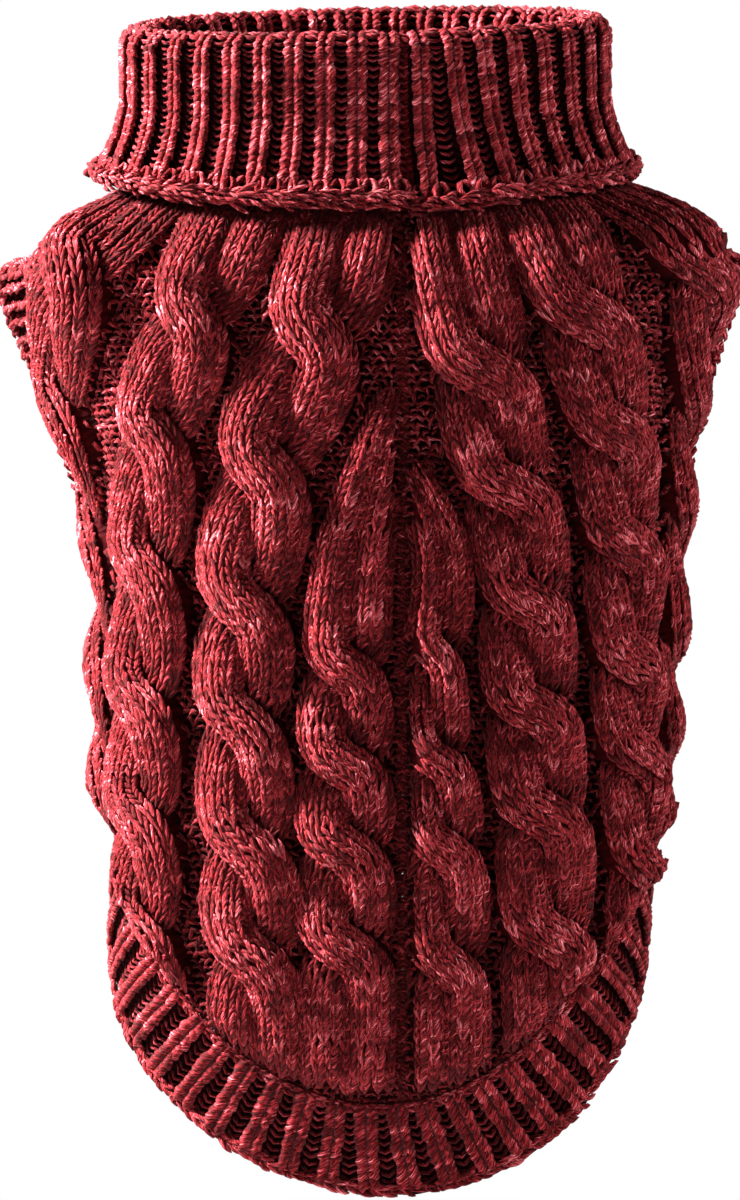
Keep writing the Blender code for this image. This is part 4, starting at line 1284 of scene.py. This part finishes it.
def over_turn(run):
    """1 where the collar turns down, where its ribs draw flat, and 0 on both its walls."""
    return ease((run - TURN_START + 2) / 4) * ease(((TURN_START + FOLD_START) / 2 + 3 - run) / 4)


crest = rib_crest(fine_share / 2 * COLLAR_RIBS, COLLAR_CREST_POWER) * COLLAR_RIB_HEIGHT
crest = crest * (1 - COLLAR_FLATTENED * over_turn(fine_run))
collar_outer = collar_face(fine_share, fine_run, crest - STITCH_ROOT * (1 - over_turn(fine_run)))
collar_inner = collar_surface(fine_share[::INNER_STEP], fine_run[:, ::INNER_STEP], np.array(-WALL / 2))
counts = np.stack(np.broadcast_arrays(fine_share * COLLAR_RIBS, fine_run / RIB_COURSE), axis=-1)
collar_cloth = make_backing("collar_cloth", collar_outer, collar_inner, counts, closed=True)
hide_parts("collar")
finish_piece(collar_cloth)

# Its courses up the stand, closer ones over the turn, and those down the fold.
STAND_FIRST_COURSE = 2.0
TURN_COURSES = 8
FOLD_FIRST_COURSE = 3.2
FOLD_LAST_COURSE = 4.0
LEAST_RIB_COURSE = 1.3

courses = np.concatenate([
    np.arange(STAND_FIRST_COURSE, TURN_START - 1, RIB_COURSE),
    np.linspace(TURN_START, FOLD_START + 1, TURN_COURSES),
    np.arange(FOLD_START + FOLD_FIRST_COURSE, COLLAR_RUN[-1] - FOLD_LAST_COURSE, RIB_COURSE),
])[None, :]
heights = np.clip(np.gradient(courses[0]), LEAST_RIB_COURSE, RIB_COURSE)
drawn = over_turn(courses)
crests = ((2 * np.arange(COLLAR_RIBS) + 1) / COLLAR_RIBS)[:, None]
stitches = surface_stitches(
    collar_face, crests, courses, out=COLLAR_RIB_HEIGHT - 0.9 - 0.5 * drawn, width=RIB_WALE,
    course=heights, v_step=0.5)
collar_ribs = knit("collar_ribs", rib_stitch, stitches, shade=0.52)
furrows = (2 * np.arange(COLLAR_RIBS) / COLLAR_RIBS)[:, None]
place, along, out, size = surface_stitches(
    collar_face, furrows, courses, out=-1.0 + 1.1 * drawn, width=4.3, course=heights, v_step=0.5)
# The bars of the furrows swell where the turn draws them open, and are painted lighter there, as less
# shade falls into the open furrows; all are painted darker as shade in the furrows.
drawn = np.tile(drawn, (COLLAR_RIBS, 1)).reshape(-1, 1)
size = size * (1.0, 1.5, 1.1) * (1 + drawn * (0.35, 0.5, 0.2))
collar_furrows = knit("collar_furrows", purl_stitch, (place, along, out, size),
                      shade=0.85 + 0.10 * drawn[:, 0], deep=1.0)

# The cast-off edge: a row of loops, and three loose rows of chain round it.
EDGE_LOOPS = 2 * COLLAR_RIBS + 8
CAST_OFF_ROWS = (
    # stitches, run left to the edge, out
    (118, 2.2, 0.3),
    (124, 1.0, -0.1),
    (110, 0.2, -1.3),
)
CAST_OFF_WIDTH = 3.3
CAST_OFF_GIRTH = 345
CAST_OFF_OVERLAP = 1.2

stitches = surface_stitches(
    collar_face, 2 * (np.arange(EDGE_LOOPS) + 0.5) / EDGE_LOOPS, COLLAR_RUN[-1] - 4.7, out=0.9,
    width=4.6, course=4.4, v_step=0.6)
chain = knit("collar_edge_loops", edge_loop, stitches, shade=0.55, looseness=1.5)
cast_off = []
for count, left, lifted in CAST_OFF_ROWS:
    at = 2 * (np.arange(count) + 0.5) / count
    edge = COLLAR_RUN[-1] - left
    place = collar_face(at, edge, lifted)
    ahead = collar_face(at + 0.01, edge, lifted) - place
    outward = collar_face(at, edge, lifted + 1) - place
    size = sized(count, CAST_OFF_WIDTH, CAST_OFF_OVERLAP * CAST_OFF_GIRTH / count)
    cast_off.append((place, ahead, outward, size))
stitches = [np.concatenate(columns) for columns in zip(*cast_off)]
cast_off = knit("collar_cast_off", knit_stitch, stitches, shade=0.5, looseness=3.0)


# ------------------------------------------------------------------------------------------------
# The hem band, picked up all round the lower edge of the body in the same yarn, knitted outwards
# in a rib of single columns of stitches with wide furrows, and cast off.
# ------------------------------------------------------------------------------------------------

HEM_RIBS = 40
HEM_RIB_HEIGHT = 1.8
HEM_CELLS = 6
HEM_ROWS = 12
EDGE_ACROSS, EDGE_LEVELS, EDGE_INWARD = hem_edge()
EDGE_RUN = running_length(np.hypot(np.diff(EDGE_ACROSS), np.diff(EDGE_LEVELS)))
EDGE_WIDTHS = hem_band_width(np.linspace(-1.0, 1.0, HEM_SAMPLES))


def hem_surface(turn, reach, out):
    """Points of the band. Turn goes once round, and reach from 0 at the edge to 1 at the body."""
    turn, reach, out = np.broadcast_arrays(turn, reach, out)
    run = turn % 1 * EDGE_RUN[-1]
    across, level, inward_across, inward_level, width = [
        np.interp(run, EDGE_RUN, values)
        for values in (EDGE_ACROSS, EDGE_LEVELS, *EDGE_INWARD.T, EDGE_WIDTHS)]
    band_level = level + inward_level * reach * width
    share = (across + inward_across * reach * width) / half_girth(band_level)
    return body_point(share, band_level) + body_normal(share, band_level) * out[..., None]


fine_turn = np.linspace(0, 1, HEM_RIBS * HEM_CELLS + 1)[:-1, None]
fine_reach = np.linspace(1, 0, HEM_ROWS + 1)[None, :]
crest = rib_crest(fine_turn * HEM_RIBS, 0.8) * HEM_RIB_HEIGHT
hem_outer = hem_surface(fine_turn, fine_reach, crest - STITCH_ROOT)
hem_inner = hem_surface(fine_turn[::INNER_STEP], fine_reach[:, ::INNER_STEP], np.array(-WALL))
counts = [fine_turn * HEM_RIBS * 3, fine_reach * HEM_BAND_BACK / COURSE]
counts = np.stack(np.broadcast_arrays(*counts), axis=-1)
hem_cloth = make_backing("hem_cloth", hem_outer, hem_inner, counts, closed=True)
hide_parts("hem_band")
finish_piece(hem_cloth)

crests = ((np.arange(HEM_RIBS) + 0.5) / HEM_RIBS)[:, None]
reaches = np.arange(0.96, 0.11, -RIB_COURSE / HEM_BAND_BACK)[None, :]
stitches = surface_stitches(
    hem_surface, crests, reaches, out=HEM_RIB_HEIGHT - 0.9, width=6.3, course=2.4, v_step=-0.03)
hem_ribs = knit("hem_ribs", rib_stitch, stitches, shade=0.38)
furrows = (np.arange(HEM_RIBS) / HEM_RIBS)[:, None]
stitches = surface_stitches(
    hem_surface, furrows, reaches, out=-1.0, width=4.2, course=3.2, v_step=-0.03)
# The furrows' bars are painted darker, as shade in the furrows.
hem_furrows = knit("hem_furrows", purl_stitch, stitches, shade=0.7, deep=1.0)

CHAIN_REACH = 0.3
CHAIN_OVERLAP = 1.05
BARS_OVERLAP = 2.6


def round_chain(name, surface, count, reach, out, shade, width=3.8, looseness=1.0, stitch=knit_stitch):
    """A chain of stitches that runs once round a band, at one reach over its width."""
    turn = (np.arange(count) + 0.5) / count
    reach, out = np.full(count, reach), np.full(count, out)
    place = surface(turn, reach, out)
    step = CHAIN_REACH / count
    ahead = surface(turn + step, reach, out) - surface(turn - step, reach, out)
    outward = surface(turn, reach, out + 0.5) - surface(turn, reach, out - 0.5)
    overlap = BARS_OVERLAP if stitch is purl_stitch else CHAIN_OVERLAP
    length = np.linalg.norm(ahead, axis=-1) / (2 * CHAIN_REACH) * overlap
    stitches = (place, ahead, outward, sized(count, width, length))
    return knit(name, stitch, stitches, shade, looseness=looseness)


hem_cast_off = round_chain(
    "hem_cast_off", hem_surface, 150, reach=0.07, out=0.5, shade=0.48, looseness=2.0)
hem_pick_up = round_chain(
    "hem_pick_up", hem_surface, 140, reach=1.0, out=0.2, shade=0.5, width=3.2)
hem_seam = round_chain(
    "hem_seam", hem_surface, 400, reach=1.02, out=-1.5, shade=0.3, width=3.6, stitch=purl_stitch)


# ------------------------------------------------------------------------------------------------
# The leg bands, one picked up round each foreleg's hole in the same yarn: short, ribbed more
# finely than the hem, and cast off.
# ------------------------------------------------------------------------------------------------

CUFF_CLEARANCE = 0.8
CUFF_LENGTH = 11.0
CUFF_FLARE = 1.0
CUFF_RIBS = 22
CUFF_RIB_HEIGHT = 0.5
CUFF_RIB_START = 0.35
CUFF_ROOT = 1.0
CUFF_CELLS = 6
CUFF_ROWS = 6
CUFF_COURSES = (0.08, 0.29, 0.50, 0.70)


def hole_ring(side, widened):
    """Points evenly spaced round a leg hole, just above the cloth, and their running length."""
    turn = np.linspace(0.0, 2 * math.pi, HEM_SAMPLES)
    level = HOLE_LEVEL + (HOLE_HALF_HEIGHT + widened) * np.cos(turn)
    reach = np.where(np.sin(turn) > 0, HOLE_SHARE_TO_BELLY, HOLE_SHARE_TO_BACK)
    share = side * (side_seam(level) + (reach + widened / half_girth(level)) * np.sin(turn))
    ring = body_point(share, level) + body_normal(share, level) * CUFF_CLEARANCE
    run = running_length(np.linalg.norm(np.diff(ring, axis=0), axis=1))
    return ring, run / run[-1]


def cuff_surface_of(side):
    """A leg band's surface: turn once round, rise from 0 at the cloth to 1, and out of its wall."""
    middle_share = side * (side_seam(HOLE_LEVEL) + (HOLE_SHARE_TO_BELLY - HOLE_SHARE_TO_BACK) / 2)
    axis = body_normal(np.array([middle_share]), np.array([HOLE_LEVEL]))[0]
    inside, _ = hole_ring(side, 0.0)
    outside, outside_run = hole_ring(side, WALL)
    centre = inside[:-1].mean(axis=0)

    def surface(turn, rise, out):
        turn, rise, out = np.broadcast_arrays(turn, rise, out)
        base = np.stack(
            [np.interp(turn % 1, outside_run, outside[:, column]) for column in range(3)], axis=-1)
        outward = base - centre
        outward = unit(outward - (outward @ axis)[..., None] * axis)
        risen = rise[..., None] * (CUFF_LENGTH * axis + CUFF_FLARE * outward)
        return base + risen + outward * out[..., None]

    return surface


fine_turn = np.linspace(0, 1, CUFF_RIBS * CUFF_CELLS + 1)[:-1, None]
fine_rise = np.linspace(0, 1, CUFF_ROWS + 1)[None, :]
crest = rib_crest(fine_turn * CUFF_RIBS, 0.8) * CUFF_RIB_HEIGHT * ease(fine_rise / CUFF_RIB_START)
counts = [fine_turn * CUFF_RIBS * 3, fine_rise * CUFF_LENGTH / COURSE]
counts = np.stack(np.broadcast_arrays(*counts), axis=-1)
crests = ((np.arange(CUFF_RIBS) + 0.5) / CUFF_RIBS)[:, None]
furrows = (np.arange(CUFF_RIBS) / CUFF_RIBS)[:, None]
rises = np.array(CUFF_COURSES)[None, :]
for side, half in ((-1, "left"), (1, "right")):
    cuff_surface = cuff_surface_of(side)
    outer = cuff_surface(fine_turn, fine_rise, crest - CUFF_ROOT)
    inner = cuff_surface(fine_turn[::INNER_STEP], fine_rise[:, ::INNER_STEP], np.array(-WALL))
    cuff_cloth = make_backing(f"cuff_{half}_cloth", outer, inner, counts, closed=True)
    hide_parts(f"cuff_{half}")
    finish_piece(cuff_cloth)
    stitches = surface_stitches(
        cuff_surface, crests, rises, out=-0.2, width=7.2, course=2.7, v_step=0.05)
    cuff_ribs = knit(f"cuff_{half}_ribs", rib_stitch, stitches, shade=0.5)
    stitches = surface_stitches(
        cuff_surface, furrows, rises, out=0.2, width=5.8, course=2.8, v_step=0.05)
    cuff_furrows = knit(f"cuff_{half}_furrows", knit_stitch, stitches, shade=0.5)
    cuff_edge = round_chain(
        f"cuff_{half}_cast_off", cuff_surface, 64, reach=0.92, out=-0.2, shade=0.5,
        stitch=rib_stitch)


# ------------------------------------------------------------------------------------------------
# A pale floor under the sweater, three lamps, and the camera level with the sweater's middle. The
# camera sees both the floor and the world as plain white.
# ------------------------------------------------------------------------------------------------

CAMERA_AWAY = 1.6
CAMERA_LEVEL = -0.1192
CAMERA_RIGHT = 0.0014
VIEW_HEIGHT = 0.336
FLOOR_BELOW = 0.012
WHITE = (1.0, 1.0, 1.0, 1.0)


def show_camera(tree, lit, shown, output):
    """Shows one shader to the camera, and lets another meet all other light."""
    path = add_node(tree, "ShaderNodeLightPath")
    choice = add_node(tree, "ShaderNodeMixShader", {
        0: path.outputs["Is Camera Ray"], 1: lit.outputs[0], 2: shown.outputs[0]})
    fill_inputs(tree, tree.nodes[output], {"Surface": choice.outputs[0]})


floor_level = cad_box[0][2] - FLOOR_BELOW
bpy.ops.mesh.primitive_plane_add(size=8.0, location=(0, 0, floor_level))
floor = bpy.context.object
floor.name = "floor"
pale = bpy.data.materials.new("pale_floor")
pale.use_nodes = True
tree = pale.node_tree
shader = tree.nodes["Principled BSDF"]
fill_inputs(tree, shader, {"Base Color": (0.35, 0.33, 0.33, 1.0), "Roughness": 0.9})
glow = add_node(tree, "ShaderNodeEmission", {"Strength": 1.0})
show_camera(tree, shader, glow, "Material Output")
floor.data.materials.append(pale)

world = bpy.data.worlds.new("studio")
bpy.context.scene.world = world
world.use_nodes = True
tree = world.node_tree
backdrop = tree.nodes["Background"]
fill_inputs(tree, backdrop, {"Color": WHITE, "Strength": 1.0})
ambient = add_node(tree, "ShaderNodeBackground", {"Color": (1.0, 0.97, 0.96, 1.0), "Strength": 0.03})
show_camera(tree, ambient, backdrop, "World Output")

LIGHTS = (
    # name, right, away, above the middle, width, watts
    ("key", -0.98, -0.05, 0.62, 0.24, 170.0),
    ("fill", -0.30, -1.70, 0.60, 0.50, 2.0),
    ("rim", 1.30, -0.10, 0.50, 0.30, 26.0),
)
LIGHTS_MIDDLE = -0.12
LIGHTS_AIM = (0.0, 0.0, -0.13)

for name, right, away, up, width, watts in LIGHTS:
    lamp = bpy.data.lights.new(name, "AREA")
    lamp.size = width
    lamp.energy = watts
    holder = add_object(name, lamp)
    holder.location = (right, away, up + LIGHTS_MIDDLE)
    aim = Vector(LIGHTS_AIM) - holder.location
    holder.rotation_euler = aim.to_track_quat("-Z", "Y").to_euler()

camera = add_object("camera", bpy.data.cameras.new("camera"))
camera.location = (CAMERA_RIGHT, -CAMERA_AWAY, CAMERA_LEVEL)
camera.rotation_euler = (math.pi / 2, 0.0, 0.0)
camera.data.sensor_width = 36.0
camera.data.lens = 36.0 * CAMERA_AWAY / VIEW_HEIGHT
camera.data.clip_start = 0.05
bpy.context.scene.camera = camera
bpy.context.scene.view_settings.view_transform = "Standard"

for shape in (knit_stitch, purl_stitch, rib_stitch, edge_loop):
    bpy.data.objects.remove(shape)
